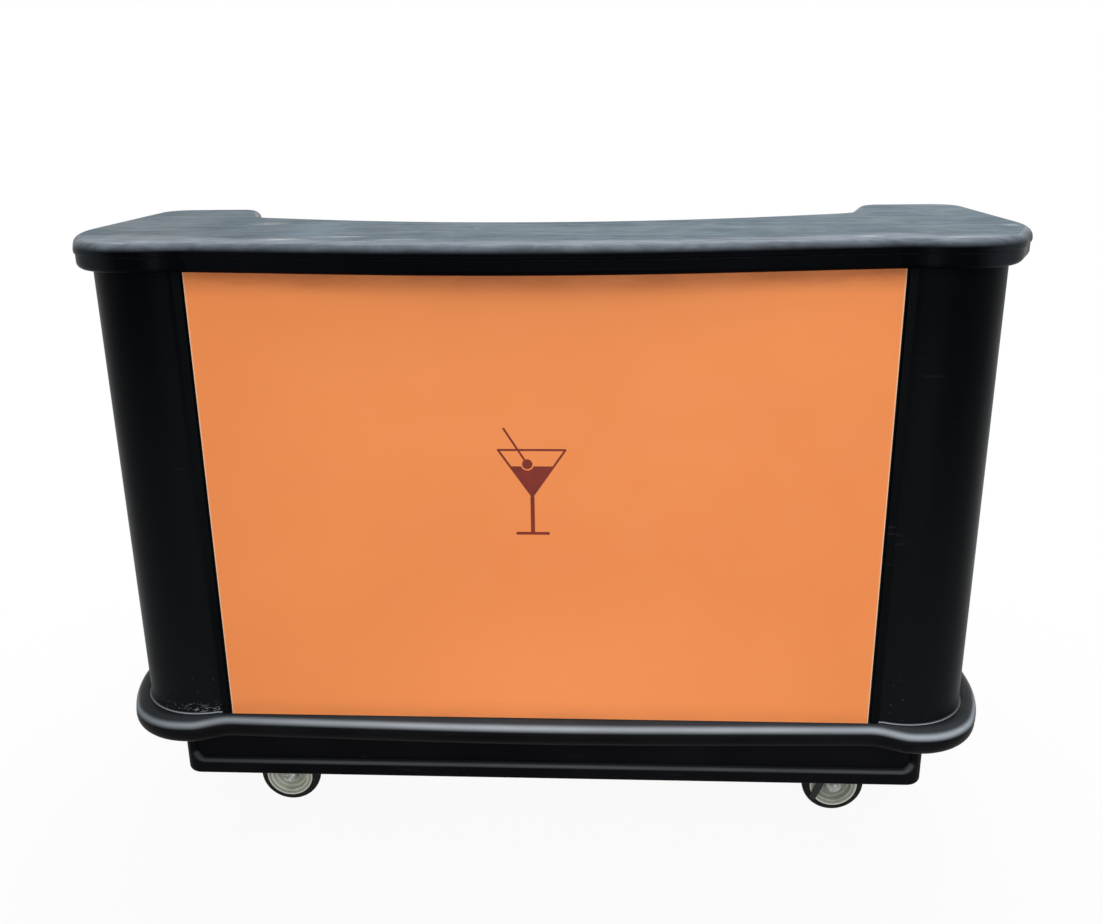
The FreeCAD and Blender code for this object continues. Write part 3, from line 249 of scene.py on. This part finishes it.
def moulded_plastic(name, dark, light, level, rough, scuff_colour, scuffs, pebble,
                    ridge_highlight=None, dust=None, bead=None, sheen=0.0):
    """Rotationally moulded polyethylene: cloudy colour, fine pebble, uneven gloss and thin scuffs.

    level is the specular level, rough the roughness from and to, scuffs their strength, and pebble their
    height. bead is the height at which a raised bead begins. The tuple of slopes, when given, sets a painted
    highlight on the sloping faces; dust, when given, adds specks and scratches low down together with painted
    shade and a painted sheen."""
    look = Look(name, IOR=1.5, Specular_IOR_Level=level, Sheen_Weight=sheen, Sheen_Roughness=0.3)
    cloud = look.noise(3.2, 4.0, 0.55)
    base = look.blend(look.ramp(cloud, 0.35, 0.68), dark, light)
    gloss = look.ramp(cloud, 0.3, 0.7, rough[0], rough[1])
    # Painted highlight on the sloping faces, and along the bead
    if ridge_highlight is not None:
        painted_highlight = ridge_highlight_share(look, ridge_highlight, bead)
        base = look.blend(painted_highlight, base, ridge_highlight.colour)
        gloss = look.maths("ADD", gloss, look.times(painted_highlight, 0.08))
    streak = look.noise(1.0, 5.0, 0.6, look.stretched((9.0, 70.0, 120.0)), 0.4)
    patch = look.noise(5.5, 3.0, 0.6)
    share = look.times(look.ramp(streak, 0.60, 0.74), look.ramp(patch, 0.52, 0.70), scuffs)
    base = look.blend(share, base, scuff_colour)
    # Dust specks and scratches, with painted shade and a painted sheen
    if dust is not None:
        base = shaded_and_dusted(look, base, dust)
    gloss = look.maths("ADD", gloss, look.times(share, 0.25))
    look.bump(look.noise(420.0, 2.0), pebble, 0.5)
    look.bump(look.noise(28.0, 2.0), 0.0012, 0.12)
    return look.done(base, gloss)


# The counter's front edge as seen from above: a bow in the middle, a lobe and a slanting side at each end
bow_middle_y, bow_radius = 1.841, 2.2
lobe_from, lobe_to, lobe_front_y = 0.575, 0.655, -0.306
slant_x, slant_y, slant_offset = 0.9039, 0.428, 0.8237
side_setback = 0.06


def near_front_edge(look, reach):
    """1 at the counter's front edge, fading to 0 at this distance behind it: bow, lobes and ends."""
    across = look.maths("ABSOLUTE", look.axis("X"))
    along = look.axis("Y")
    back = look.maths("SUBTRACT", along, bow_middle_y)
    squares = look.maths("ADD", look.times(across, across), look.times(back, back))
    bow = look.maths("SUBTRACT", bow_radius, look.maths("SQRT", squares))
    lobe = look.maths("SUBTRACT", along, lobe_front_y)
    straight_end = look.maths("SUBTRACT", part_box("counter_top")[1][0], across)
    slant = look.maths("ADD", look.times(along, slant_y), slant_offset)
    slant = look.maths("SUBTRACT", slant, look.times(across, slant_x))
    side = look.maths("ADD", look.maths("MINIMUM", slant, straight_end), side_setback)
    end = look.maths("MINIMUM", lobe, side)
    outer = look.ramp(across, lobe_from, lobe_to)
    inside = look.maths("ADD", look.times(end, outer), look.times(bow, look.maths("SUBTRACT", 1.0, outer)))
    return look.ramp(inside, reach, reach * 0.5)


# Wear on the counter's top, and the place over the left ear where the painted edge highlight spreads: middle
# x and y, half length and half width in metres, and strength
rubbed_marks = (
    (-0.435, -0.245, 0.055, 0.026, 1.00), (-0.340, -0.212, 0.075, 0.016, 0.90),
    (-0.235, -0.262, 0.065, 0.018, 0.80), (-0.686, -0.290, 0.012, 0.016, 1.00),
    (-0.660, -0.268, 0.030, 0.015, 1.00), (-0.530, 0.020, 0.060, 0.045, 0.55),
    (0.537, -0.253, 0.034, 0.016, 1.00), (0.681, -0.276, 0.056, 0.016, 1.00),
    (0.815, -0.097, 0.026, 0.024, 1.00), (0.589, -0.400, 0.006, 0.050, 0.70))
pale_patch = (-0.400, 0.000, 0.105, 0.460, 0.90)
ear_highlight = (-0.720, -0.235, 0.190, 0.095, 0.80)


def near_mark(look, mark, inner=0.0, upright="Y"):
    """1 in the middle of a worn place, fading to 0 at its edge, times its strength.

    inner is the share of its half size that the middle takes up, and upright the axis of its second size."""
    x, y, long, wide, strength = mark
    side = look.maths("DIVIDE", look.maths("SUBTRACT", look.axis("X"), x), long)
    back = look.maths("DIVIDE", look.maths("SUBTRACT", look.axis(upright), y), wide)
    squares = look.maths("ADD", look.times(side, side), look.times(back, back))
    return look.ramp(look.maths("SQRT", squares), 1.0, inner, 0.0, strength)


def bloom_and_reflection(look, upward, patch, fibre):
    """The colour of the pale bloom on what faces up, partly the plastic's own weathering and partly painted
    reflection: a painted highlight makes it palest near the front edge and over the left ear, it is darker on
    the flat, painted dimmer to the left, and mottled all over.
    """
    broad = look.ramp(patch, 0.3, 0.7)
    # Painted highlight colours near the front edge, and bloom with painted reflection on the flat
    edge_highlight = look.blend(broad, colour(151, 163, 175), colour(165, 176, 187))
    flat_bloom_and_reflection = look.blend(broad, colour(89, 109, 121), colour(109, 130, 142))
    flat_bloom_and_reflection = look.blend(look.ramp(fibre, 0.35, 0.65, 0.0, 0.75), flat_bloom_and_reflection, colour(123, 142, 154))
    behind_edge = look.maths("SUBTRACT", 1.0, near_front_edge(look, edge_highlight_reach))
    beside_ear = look.maths("SUBTRACT", 1.0, near_mark(look, ear_highlight, 0.4))
    flat = look.times(look.ramp(upward, 0.955, 0.999), behind_edge, beside_ear)
    bloom_with_highlight = look.blend(flat, edge_highlight, flat_bloom_and_reflection)
    mottle = look.noise(1.0, 6.0, 0.65, look.stretched((22.0, 50.0, 28.0)), 0.3)
    less_light_left = look.ramp(look.axis("X"), reflection_left, reflection_right, 0.82, 1.0)
    mottled = look.ramp(mottle, 0.3, 0.7, 0.76, 1.22)
    uneven = look.times(less_light_left, mottled, look.ramp(fibre, 0.3, 0.7, 0.84, 1.16))
    return look.blend(1.0, bloom_with_highlight, uneven, "MULTIPLY")


def counter_wear(look, base, upward, facing_up):
    """The base with the pale patch, the torn marks, fine rubs and nicks."""
    patch_edge = look.ramp(look.noise(9.0, 4.0, 0.6), 0.3, 0.6, 0.3, 1.0)
    paler = look.times(near_mark(look, pale_patch), patch_edge, facing_up)
    base = look.blend(paler, base, colour(132, 152, 166))
    torn = look.ramp(look.noise(1.0, 4.0, 0.7, look.stretched((34.0, 130.0, 60.0)), 0.3), 0.38, 0.52)
    marks = near_mark(look, rubbed_marks[0])
    for mark in rubbed_marks[1:]:
        marks = look.maths("MAXIMUM", marks, near_mark(look, mark))
    torn_marks = look.times(marks, torn, look.ramp(upward, 0.90, 0.98), 0.8)
    base = look.blend(torn_marks, base, colour(224, 230, 234))
    rub_at = look.stretched((26.0, 120.0, 60.0), (1.3, 0.4, 0.0))
    rubs = look.ramp(look.noise(1.0, 5.0, 0.7, rub_at, 0.5), 0.60, 0.70)
    rubs = look.times(rubs, look.ramp(look.noise(2.6, 2.0, 0.5), 0.56, 0.66), facing_up, 0.5)
    base = look.blend(rubs, base, colour(168, 178, 184))
    nick_at = look.stretched((22.0, 160.0, 60.0), (3.1, 1.7, 0.0))
    nick = look.ramp(look.cells(1.0, nick_at), 0.17, 0.10)
    nick = look.times(nick, look.ramp(look.noise(14.0, 3.0), 0.58, 0.66), facing_up, 0.8)
    return look.blend(nick, base, colour(212, 216, 218))


def counter_plastic():
    """The counter: glossy black below with a painted sheen on its ends, and on what faces up a pale bloom,
    partly weathering and partly painted reflection, palest by the front edge under a painted highlight.
    """
    look = Look("counter_plastic", IOR=1.5, Specular_IOR_Level=0.012)
    cloud = look.noise(3.0, 4.0, 0.6)
    base = look.blend(look.ramp(cloud, 0.35, 0.68), colour(1, 2, 4), colour(4, 5, 8))
    upward = look.axis("Z", "normal")
    facing_up = look.maths("POWER", look.ramp(upward, 0.20, 1.0, smooth=False), 1.6)
    patch = look.noise(4.2, 4.0, 0.62)
    fibre = look.noise(1.0, 6.0, 0.62, look.stretched((5.0, 60.0, 40.0)), 0.6)
    # Painted sheen on the ends, lighter where the faces turn sideways
    sideways = look.maths("ABSOLUTE", look.axis("X", "normal"))
    base = look.blend(look.ramp(sideways, 0.05, 0.70, 0.0, 0.9), base, colour(39, 43, 47))
    # On what faces up: the pale bloom, partly painted reflection, with a painted highlight by the front edge
    base = look.blend(facing_up, base, bloom_and_reflection(look, upward, patch, fibre))
    lines = look.times(look.ramp(fibre, 0.56, 0.68), look.ramp(patch, 0.45, 0.60), facing_up, 0.55)
    base = look.blend(lines, base, colour(134, 148, 156))
    base = counter_wear(look, base, upward, facing_up)
    gloss = look.ramp(look.noise(7.0, 5.0, 0.6), 0.3, 0.7, 0.30, 0.42)
    gloss = look.maths("ADD", gloss, look.times(lines, 0.3))
    look.bump(look.noise(380.0, 2.0), 0.00012, 0.5)
    look.bump(fibre, 0.0005, 0.2)
    return look.done(base, gloss)


def panel_laminate():
    """Orange decorative sheet: even colour with a faint cloud and a fine satin grain, a painted pool of light
    low in the middle, painted shade along its foot and a painted shadow under the counter.
    """
    look = Look("panel_laminate", IOR=1.46, Specular_IOR_Level=0.2)
    (_, _, panel_low), (panel_half, _, panel_high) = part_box("front_panel")
    cloud = look.noise(2.1, 3.0, 0.5)
    base = look.blend(look.ramp(cloud, 0.3, 0.7), colour(234, 138, 76), colour(238, 143, 80))
    # Painted pool of light low in the middle of the panel
    light_pool = near_mark(look, (0.0, panel_low, light_pool_half_width, light_pool_height, 0.8), upright="Z")
    base = look.blend(light_pool, base, colour(248, 150, 87))
    fleck = look.ramp(look.noise(900.0, 1.0), 0.35, 0.65, 0.0, 0.03)
    base = look.blend(fleck, base, colour(216, 118, 62))
    side = look.maths("ABSOLUTE", look.axis("X"))
    cut_edge = look.times(look.ramp(side, panel_half - cut_begins, panel_half - cut_full), 0.85)
    base = look.blend(cut_edge, base, colour(232, 196, 168))
    uneven = look.ramp(look.noise(1.0, 4.0, 0.6, look.stretched((9.0, 9.0, 30.0))), 0.3, 0.7, 0.55, 1.0)
    height = look.axis("Z")
    # Painted shade along the panel's foot, above the bumper
    foot_shade = look.times(look.ramp(height, panel_low + foot_shade_height, panel_low), uneven, 0.24)
    base = look.blend(foot_shade, base, colour(150, 78, 44))
    # Painted shadow along the panel's top, under the counter
    high = look.ramp(height, panel_high - counter_shadow_begins, panel_high - counter_shadow_full)
    counter_shadow = look.times(high, uneven, 0.60)
    base = look.blend(counter_shadow, base, colour(140, 74, 40))
    gloss = look.ramp(look.noise(12.0, 4.0), 0.3, 0.7, 0.46, 0.56)
    look.bump(look.noise(700.0, 2.0), 0.00002, 0.5)
    return look.done(base, gloss)


def emblem_ink():
    """Dark red-brown print, a little uneven."""
    look = Look("emblem_ink", IOR=1.5, Specular_IOR_Level=0.15)
    share = look.ramp(look.noise(35.0, 4.0), 0.3, 0.7)
    base = look.blend(share, colour(112, 34, 22), colour(128, 44, 30))
    look.bump(look.noise(500.0, 2.0), 0.00004, 0.5)
    return look.done(base, look.ramp(share, 0.0, 1.0, 0.36, 0.48))


def brushed_steel():
    """Sheet steel with fine brush lines that run along X."""
    look = Look("bright_steel")
    dark, light = colour(172, 175, 176), colour(206, 208, 208)
    lines = look.noise(1.0, 4.0, 0.6, look.stretched((14.0, 900.0, 900.0)))
    smear = look.noise(9.0, 4.0, 0.6)
    base = look.blend(look.ramp(lines, 0.3, 0.7), dark, light)
    base = look.blend(look.ramp(smear, 0.5, 0.8, 0.0, 0.25), base, dark)
    look.bump(lines, 0.00006, 0.5)
    return look.done(base, look.ramp(smear, 0.3, 0.7, 0.34, 0.46), 1.0)


def zinc_steel():
    """Zinc-plated pressings: bright, a little cloudy, with grey grime in places."""
    look = Look("zinc_steel")
    spangle = look.cells(240.0, output="Color")
    spangle = look.node("ShaderNodeSeparateColor", {"Color": spangle}).outputs["Red"]
    cloud = look.noise(30.0, 4.0, 0.6)
    base = look.blend(look.ramp(spangle, 0.0, 1.0), colour(190, 193, 190), colour(220, 222, 217))
    grime = look.ramp(look.noise(110.0, 4.0, 0.6), 0.42, 0.68, 0.0, 0.62)
    base = look.blend(grime, base, colour(84, 84, 78))
    look.bump(cloud, 0.0002, 0.3)
    return look.done(base, look.ramp(cloud, 0.3, 0.7, 0.24, 0.46), 1.0)


# Radii on a wheel, each where a tone begins and where it is full: the hub's hollow, and on the tyre's side
# wall the painted highlight line next to the rim and the pale ring inside it
hollow_from, hollow_full = 0.036, 0.028
rim_highlight_from, rim_highlight_full = 0.0492, 0.0480
ring_from, ring_full = 0.0464, 0.0454


def from_middle(look, node):
    """The distance from a wheel's axle line."""
    low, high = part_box(node)
    across = look.maths("SUBTRACT", look.axis("X"), (low[0] + high[0]) / 2)
    above = look.maths("SUBTRACT", look.axis("Z"), (low[2] + high[2]) / 2)
    return look.maths("SQRT", look.maths("ADD", look.times(across, across), look.times(above, above)))


def core_plastic(node):
    """Warm grey moulded nylon of the wheel cores, darker round the hub, with road dirt worked into it, and
    painted shade on the right-hand wheels.
    """
    look = Look(node + "_nylon", IOR=1.5)
    cloud = look.noise(26.0, 5.0, 0.6)
    base = look.blend(look.ramp(cloud, 0.3, 0.7), colour(172, 177, 160), colour(204, 207, 194))
    hollow = look.ramp(from_middle(look, node), hollow_from, hollow_full, 0.0, 0.55)
    base = look.blend(hollow, base, colour(112, 116, 100))
    # Painted shade: the right-hand wheels darker
    base = look.blend(look.ramp(look.axis("X"), core_shade_left, core_shade_right, 0.0, 0.5), base, colour(106, 112, 102))
    dirt = look.ramp(look.noise(90.0, 5.0, 0.65), 0.55, 0.75, 0.0, 0.55)
    base = look.blend(dirt, base, colour(88, 86, 74))
    look.bump(look.noise(320.0, 3.0), 0.0001, 0.5)
    return look.done(base, look.ramp(cloud, 0.3, 0.7, 0.38, 0.55))


def tyre_rubber(node):
    """Black rubber with dust in it. Its side wall is pale next to the rim, with a thin painted highlight line
    along the rim.
    """
    look = Look(node + "_rubber", IOR=1.5, Specular_IOR_Level=0.12)
    from_axle = from_middle(look, node)
    cloud = look.noise(34.0, 5.0, 0.6)
    base = look.blend(look.ramp(cloud, 0.3, 0.7), colour(15, 17, 18), colour(29, 31, 31))
    dust = look.ramp(look.noise(120.0, 5.0, 0.7), 0.52, 0.75, 0.0, 0.22)
    base = look.blend(dust, base, colour(104, 102, 94))
    # Painted highlight: a thin pale line along the rim
    base = look.blend(look.ramp(from_axle, rim_highlight_from, rim_highlight_full), base, colour(206, 209, 198))
    base = look.blend(look.ramp(from_axle, ring_from, ring_full), base, colour(150, 153, 138))
    look.bump(look.noise(520.0, 3.0), 0.00018, 0.6)
    return look.done(base, look.ramp(cloud, 0.3, 0.7, 0.58, 0.76))


def satin_plastic(name, dark, light, rough, scale=24.0):
    """A small smooth moulding: clouds of this scale in its colour and gloss, and paler wear."""
    look = Look(name, IOR=1.5)
    cloud = look.noise(scale, 4.0, 0.55)
    base = look.blend(look.ramp(cloud, 0.3, 0.7), dark, light)
    wear = look.ramp(look.noise(scale * 6.0, 4.0, 0.65), 0.6, 0.78, 0.0, 0.3)
    base = look.blend(wear, base, light)
    look.bump(look.noise(600.0, 2.0), 0.00006, 0.5)
    return look.done(base, look.ramp(cloud, 0.3, 0.7, rough[0], rough[1]))


def foam():
    """Closed-cell insulation: skin with small open cells and faint yellowing."""
    look = Look("foam", IOR=1.4)
    cloud = look.noise(7.0, 4.0, 0.6)
    cell = look.cells(330.0)
    base = look.blend(look.ramp(cloud, 0.3, 0.7), colour(206, 192, 156), colour(222, 214, 190))
    base = look.blend(look.ramp(cell, 0.15, 0.55, 0.25, 0.0), base, colour(160, 142, 104))
    look.bump(cell, 0.0012, 0.4)
    look.bump(cloud, 0.004, 0.3)
    return look.done(base, look.ramp(cell, 0.0, 0.6, 0.95, 0.8))


def make_materials():
    scratched_foot = (-0.668, -0.290, 0.340)
    bead_height = 0.3255
    return {
        "counter_plastic": counter_plastic(),
        # The body carries painted shade under the counter and a painted sheen on its outward faces
        "body_plastic": moulded_plastic(
            "body_plastic", colour(1, 2, 4), colour(3, 5, 9), level=0.018, rough=(0.34, 0.46),
            scuff_colour=colour(92, 95, 96), scuffs=0.12, pebble=0.00010,
            dust=Dust(0.325, 0.46, scratched_foot), sheen=0.08),
        "strip_plastic": moulded_plastic(
            "strip_plastic", colour(4, 6, 8), colour(8, 11, 13), level=0.02, rough=(0.34, 0.46),
            scuff_colour=colour(92, 95, 96), scuffs=0.2, pebble=0.00008),
        "panel_laminate": panel_laminate(),
        "emblem_ink": emblem_ink(),
        # The bumper, base and deck carry a painted highlight on their sloping faces, the bumper also along
        # its bead
        "bumper_plastic": moulded_plastic(
            "bumper_plastic", colour(9, 10, 12), colour(16, 17, 19), level=0.035, rough=(0.30, 0.42),
            scuff_colour=colour(120, 125, 130), scuffs=0.30, pebble=0.00012,
            ridge_highlight=RidgeHighlight(colour(182, 191, 200), 0.20, 0.56, 0.56, 0.80, 1.0, 0.12), bead=bead_height),
        "base_plastic": moulded_plastic(
            "base_plastic", colour(9, 10, 13), colour(15, 16, 19), level=0.02, rough=(0.36, 0.48),
            scuff_colour=colour(96, 96, 92), scuffs=0.30, pebble=0.00012,
            ridge_highlight=RidgeHighlight(colour(88, 92, 96), 0.02, 0.60, 0.8, 0.97, 0.9, 0.35)),
        "deck_plastic": moulded_plastic(
            "deck_plastic", colour(24, 26, 28), colour(37, 39, 42), level=0.35, rough=(0.42, 0.56),
            scuff_colour=colour(110, 112, 112), scuffs=0.30, pebble=0.00022,
            ridge_highlight=RidgeHighlight(colour(66, 69, 72), 0.3, 0.6, 0.8, 0.97, 0.9, 0.5)),
        "bright_steel": brushed_steel(),
        "foam": foam(),
        "clear_plastic": satin_plastic("clear_plastic", colour(56, 59, 63), colour(72, 75, 79), (0.36, 0.48)),
        "zinc_steel": zinc_steel(),
        "brake_plastic": satin_plastic(
            "brake_plastic", colour(12, 13, 14), colour(34, 35, 36), (0.30, 0.5), 60.0),
        "drain_plastic": satin_plastic(
            "drain_plastic", colour(188, 188, 180), colour(208, 208, 202), (0.36, 0.5), 40.0),
        "lever_plastic": satin_plastic(
            "lever_plastic", colour(150, 28, 20), colour(178, 42, 30), (0.3, 0.42), 40.0),
    }


def dress_nodes(materials):
    """The material of each node's slot. Wheel pieces get their own, placed round their own axle."""
    made_per_node = {"tyre_rubber": tyre_rubber, "core_plastic": core_plastic}
    for part in frame["record"]["subparts"]:
        name, slot = part["node"], part["material_slot"]
        if slot in made_per_node:
            material = made_per_node[slot](name)
        elif "retainer" in name:
            material = materials["strip_plastic"]
        else:
            material = materials[slot]
        nodes[name].data.materials.clear()
        nodes[name].data.materials.append(material)


# Insulation round the ice bin, in metres. Shares are of the tub's height, or of the way between the drain
# hole and the loop round it.

foam_slack = 0.0006
foam_wall, foam_floor = 0.0236, 0.0242
hole_radius, hole_rim = 0.0168, 0.002
outer_corner, rim_corner, wall_corner, floor_corner = 0.038, 0.031, 0.0305, 0.026
foot_bend, rim_bend, floor_bend = 0.007, 0.008, 0.010
rim_taper = 0.006
side_start, side_margins, side_rings = 0.008, 0.017, 48
wall_margins, wall_rings = 0.020, 8
band_depth, band_spread, band_shares = 0.0026, 0.0045, (0.24, 0.5, 0.76)
seam_depth, seam_spread, seam_share = 0.0014, 0.0012, 0.38
top_fan_shares, bottom_fan_shares = (0.35, 0.7), (0.35, 0.75)
corner_points, bend_steps = 10, 6


def rounded_loop(half_x, half_y, radius, count):
    """Points round a rectangle with round corners: this count on each corner, and on each side."""
    corners = ((1, 1), (-1, 1), (-1, -1), (1, -1))
    centres = [(side_x * (half_x - radius), side_y * (half_y - radius)) for side_x, side_y in corners]
    points = []
    for corner, (x, y) in enumerate(centres):
        for step in range(count):
            turn = math.pi / 2 * (corner + step / count)
            points.append((x + radius * math.cos(turn), y + radius * math.sin(turn)))
        turn = math.pi / 2 * (corner + 1)
        reach_x, reach_y = radius * math.cos(turn), radius * math.sin(turn)
        next_x, next_y = centres[(corner + 1) % len(centres)]
        end = (x + reach_x, y + reach_y)
        start = (next_x + reach_x, next_y + reach_y)
        for step in range(count):
            share = step / count
            points.append((end[0] + (start[0] - end[0]) * share, end[1] + (start[1] - end[1]) * share))
    return points


def part_way(loop, other, share, z):
    """The loop that lies this share of the way from one loop to another, at one height."""
    return [(x + (u - x) * share, y + (v - y) * share, z) for (x, y), (u, v) in zip(loop, other)]


def foam_rings(half_x, half_y, bottom, top, floor_top):
    """Loops from the foot up the outside, over the rim, down the inside, and through the drain hole."""
    rings = []
    span = top - bottom
    bends = [math.pi / 2 * turn / bend_steps for turn in range(bend_steps + 1)]

    def ring(inset, z, radius):
        loop = rounded_loop(half_x - inset, half_y - inset, radius, corner_points)
        rings.append([(x, y, z) for x, y in loop])

    for bend in bends:
        ring(foot_bend * (1 - math.sin(bend)), bottom + foot_bend * (1 - math.cos(bend)), outer_corner)
    for step in range(1, side_rings):
        z = bottom + side_start + (span - side_margins) * step / side_rings
        band = sum(math.exp(-((z - bottom - span * share) / band_spread) ** 2) for share in band_shares)
        seam = math.exp(-((z - bottom - span * seam_share) / seam_spread) ** 2)
        ring(band_depth * min(1.0, band) + seam_depth * seam, z, outer_corner)
    for turn, bend in enumerate(bends):
        corner = outer_corner - rim_taper * turn / bend_steps
        ring(rim_bend * (1 - math.cos(bend)), top - rim_bend * (1 - math.sin(bend)), corner)
    for bend in bends:
        ring(foam_wall - rim_bend * (1 - math.sin(bend)), top - rim_bend * (1 - math.cos(bend)), rim_corner)
    for step in range(1, wall_rings):
        ring(foam_wall, top - rim_bend - (top - wall_margins - floor_top) * step / wall_rings, wall_corner)
    for bend in bends:
        inset = foam_wall + floor_bend * (1 - math.cos(bend))
        ring(inset, floor_top + floor_bend * (1 - math.sin(bend)), floor_corner)

    angles = [math.atan2(y, x) for x, y in rounded_loop(half_x, half_y, outer_corner, corner_points)]
    hole = [(hole_radius * math.cos(turn), hole_radius * math.sin(turn)) for turn in angles]
    inner = [(x, y) for x, y, _ in rings[-1]]
    outer = [(x, y) for x, y, _ in rings[0]]
    for share in top_fan_shares:
        rings.append(part_way(inner, hole, share, floor_top))
    wide = hole_radius + hole_rim
    for radius, z in ((wide, floor_top), (hole_radius, floor_top - hole_rim),
                      (hole_radius, bottom + hole_rim), (wide, bottom)):
        rings.append([(radius * math.cos(turn), radius * math.sin(turn), z) for turn in angles])
    for share in bottom_fan_shares:
        rings.append(part_way(hole, outer, share, bottom))
    return rings


def make_foam(material):
    """Moulded foam tub in the jacket's space: soft rims, pressed bands, a parting line and a drain hole."""
    low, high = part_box("ice_bin_jacket")
    middle_x, middle_y = (low[0] + high[0]) / 2, (low[1] + high[1]) / 2
    half_x, half_y = (high[0] - low[0]) / 2 - foam_slack, (high[1] - low[1]) / 2 - foam_slack
    rings = foam_rings(half_x, half_y, low[2] + foam_slack, high[2] - foam_slack, low[2] + foam_floor)
    build = bmesh.new()
    rows = [[build.verts.new((middle_x + x, middle_y + y, z)) for x, y, z in points] for points in rings]
    count = len(rows[0])
    for index, row in enumerate(rows):
        after = rows[(index + 1) % len(rows)]
        for step in range(count):
            beside = (step + 1) % count
            build.faces.new((row[step], row[beside], after[beside], after[step]))
    bmesh.ops.recalc_face_normals(build, faces=build.faces)
    mesh = bpy.data.meshes.new("bin_foam")
    build.to_mesh(mesh)
    build.free()
    mesh.polygons.foreach_set("use_smooth", [True] * len(mesh.polygons))
    foam_piece = bpy.data.objects.new("bin_foam", mesh)
    bpy.context.scene.collection.objects.link(foam_piece)
    mesh.materials.append(material)
    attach(foam_piece, "bar")
    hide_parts("ice_bin_jacket")


# Studio, in metres and watts

floor_half, floor_drop = 14.0, 0.0004
white_near, white_far = 0.65, 1.9
mirror_near, mirror_far = 0.8, 2.0
world_strength = 0.42


def make_floor():
    """A pale floor that goes over to plain white away from the object."""
    mesh = bpy.data.meshes.new("floor")
    build = bmesh.new()
    bmesh.ops.create_grid(build, x_segments=4, y_segments=4, size=floor_half)
    build.to_mesh(mesh)
    build.free()
    floor = bpy.data.objects.new("floor", mesh)
    floor.location = (0.0, 0.0, -floor_drop)
    bpy.context.scene.collection.objects.link(floor)
    look = Look("floor", Roughness=0.9, IOR=1.3)
    shade = look.noise(3.0, 3.0)
    base = look.blend(look.ramp(shade, 0.3, 0.7), colour(240, 240, 240), colour(244, 244, 244))
    look.done(base)
    path = look.node("ShaderNodeLightPath")
    mirrored = look.maths("MAXIMUM", path.outputs["Is Glossy Ray"], path.outputs["Is Transmission Ray"])
    distance = look.node("ShaderNodeVectorMath", {0: look.place}, operation="LENGTH").outputs["Value"]
    direct = look.times(look.ramp(distance, white_near, white_far, 0.93, 1.0), path.outputs["Is Camera Ray"])
    reflected = look.times(look.ramp(distance, mirror_near, mirror_far, 0.12, 1.0), mirrored)
    far = look.maths("MAXIMUM", direct, reflected)
    white = look.node("ShaderNodeEmission", {"Color": (1.0, 1.0, 1.0, 1.0), "Strength": 1.0})
    both = look.node("ShaderNodeMixShader", {0: far})
    look.tree.links.new(look.shader.outputs["BSDF"], both.inputs[1])
    look.tree.links.new(white.outputs["Emission"], both.inputs[2])
    look.tree.links.new(both.outputs["Shader"], look.tree.nodes["Material Output"].inputs["Surface"])
    mesh.materials.append(look.material)


def make_world():
    """White where it is seen or mirrored, and a dimmer, slightly blue light elsewhere."""
    world = bpy.data.worlds.new("studio")
    world.use_nodes = True
    tree = world.node_tree
    tree.nodes.clear()
    path = tree.nodes.new("ShaderNodeLightPath")
    lit = tree.nodes.new("ShaderNodeBackground")
    lit.inputs["Color"].default_value = (0.97, 0.985, 1.0, 1.0)
    lit.inputs["Strength"].default_value = world_strength
    seen = tree.nodes.new("ShaderNodeBackground")
    seen.inputs["Color"].default_value = (1.0, 1.0, 1.0, 1.0)
    seen.inputs["Strength"].default_value = 1.0
    share = path.outputs["Is Camera Ray"]
    for name in ("Is Glossy Ray", "Is Transmission Ray"):
        larger = tree.nodes.new("ShaderNodeMath")
        larger.operation = "MAXIMUM"
        tree.links.new(share, larger.inputs[0])
        tree.links.new(path.outputs[name], larger.inputs[1])
        share = larger.outputs["Value"]
    both = tree.nodes.new("ShaderNodeMixShader")
    tree.links.new(share, both.inputs[0])
    tree.links.new(lit.outputs["Background"], both.inputs[1])
    tree.links.new(seen.outputs["Background"], both.inputs[2])
    output = tree.nodes.new("ShaderNodeOutputWorld")
    tree.links.new(both.outputs["Shader"], output.inputs["Surface"])
    bpy.context.scene.world = world


def add_lamp(name, place, target, size, power, mirrored=True):
    """A rectangular lamp turned to its target. Glossy faces mirror it unless mirrored is False."""
    data = bpy.data.lights.new(name, "AREA")
    data.shape = "RECTANGLE"
    data.size, data.size_y = size
    data.energy = power
    lamp = bpy.data.objects.new(name, data)
    lamp.location = place
    lamp.visible_glossy = mirrored
    lamp.rotation_euler = (Vector(target) - Vector(place)).to_track_quat("-Z", "Y").to_euler()
    bpy.context.scene.collection.objects.link(lamp)


def make_studio():
    make_floor()
    make_world()
    add_lamp("key_lamp", (0.6, -3.7, 2.85), (0.0, -0.25, 0.60), (2.4, 1.2), 41.0)
    add_lamp("fill_lamp", (0.2, -2.7, 0.42), (0.0, -0.25, 0.35), (2.2, 0.5), 19.5)
    add_lamp("rear_lamp", (0.9, 2.6, 3.8), (0.0, 0.25, 0.8), (2.6, 1.4), 48.0)
    add_lamp("low_rear_lamp", (0.3, 2.8, 0.85), (0.0, 0.0, 0.75), (2.6, 0.5), 34.0, mirrored=False)
    bpy.context.scene.view_settings.view_transform = "Standard"


make_camera()
make_studio()
looks = make_materials()
dress_nodes(looks)
make_foam(looks["foam"])
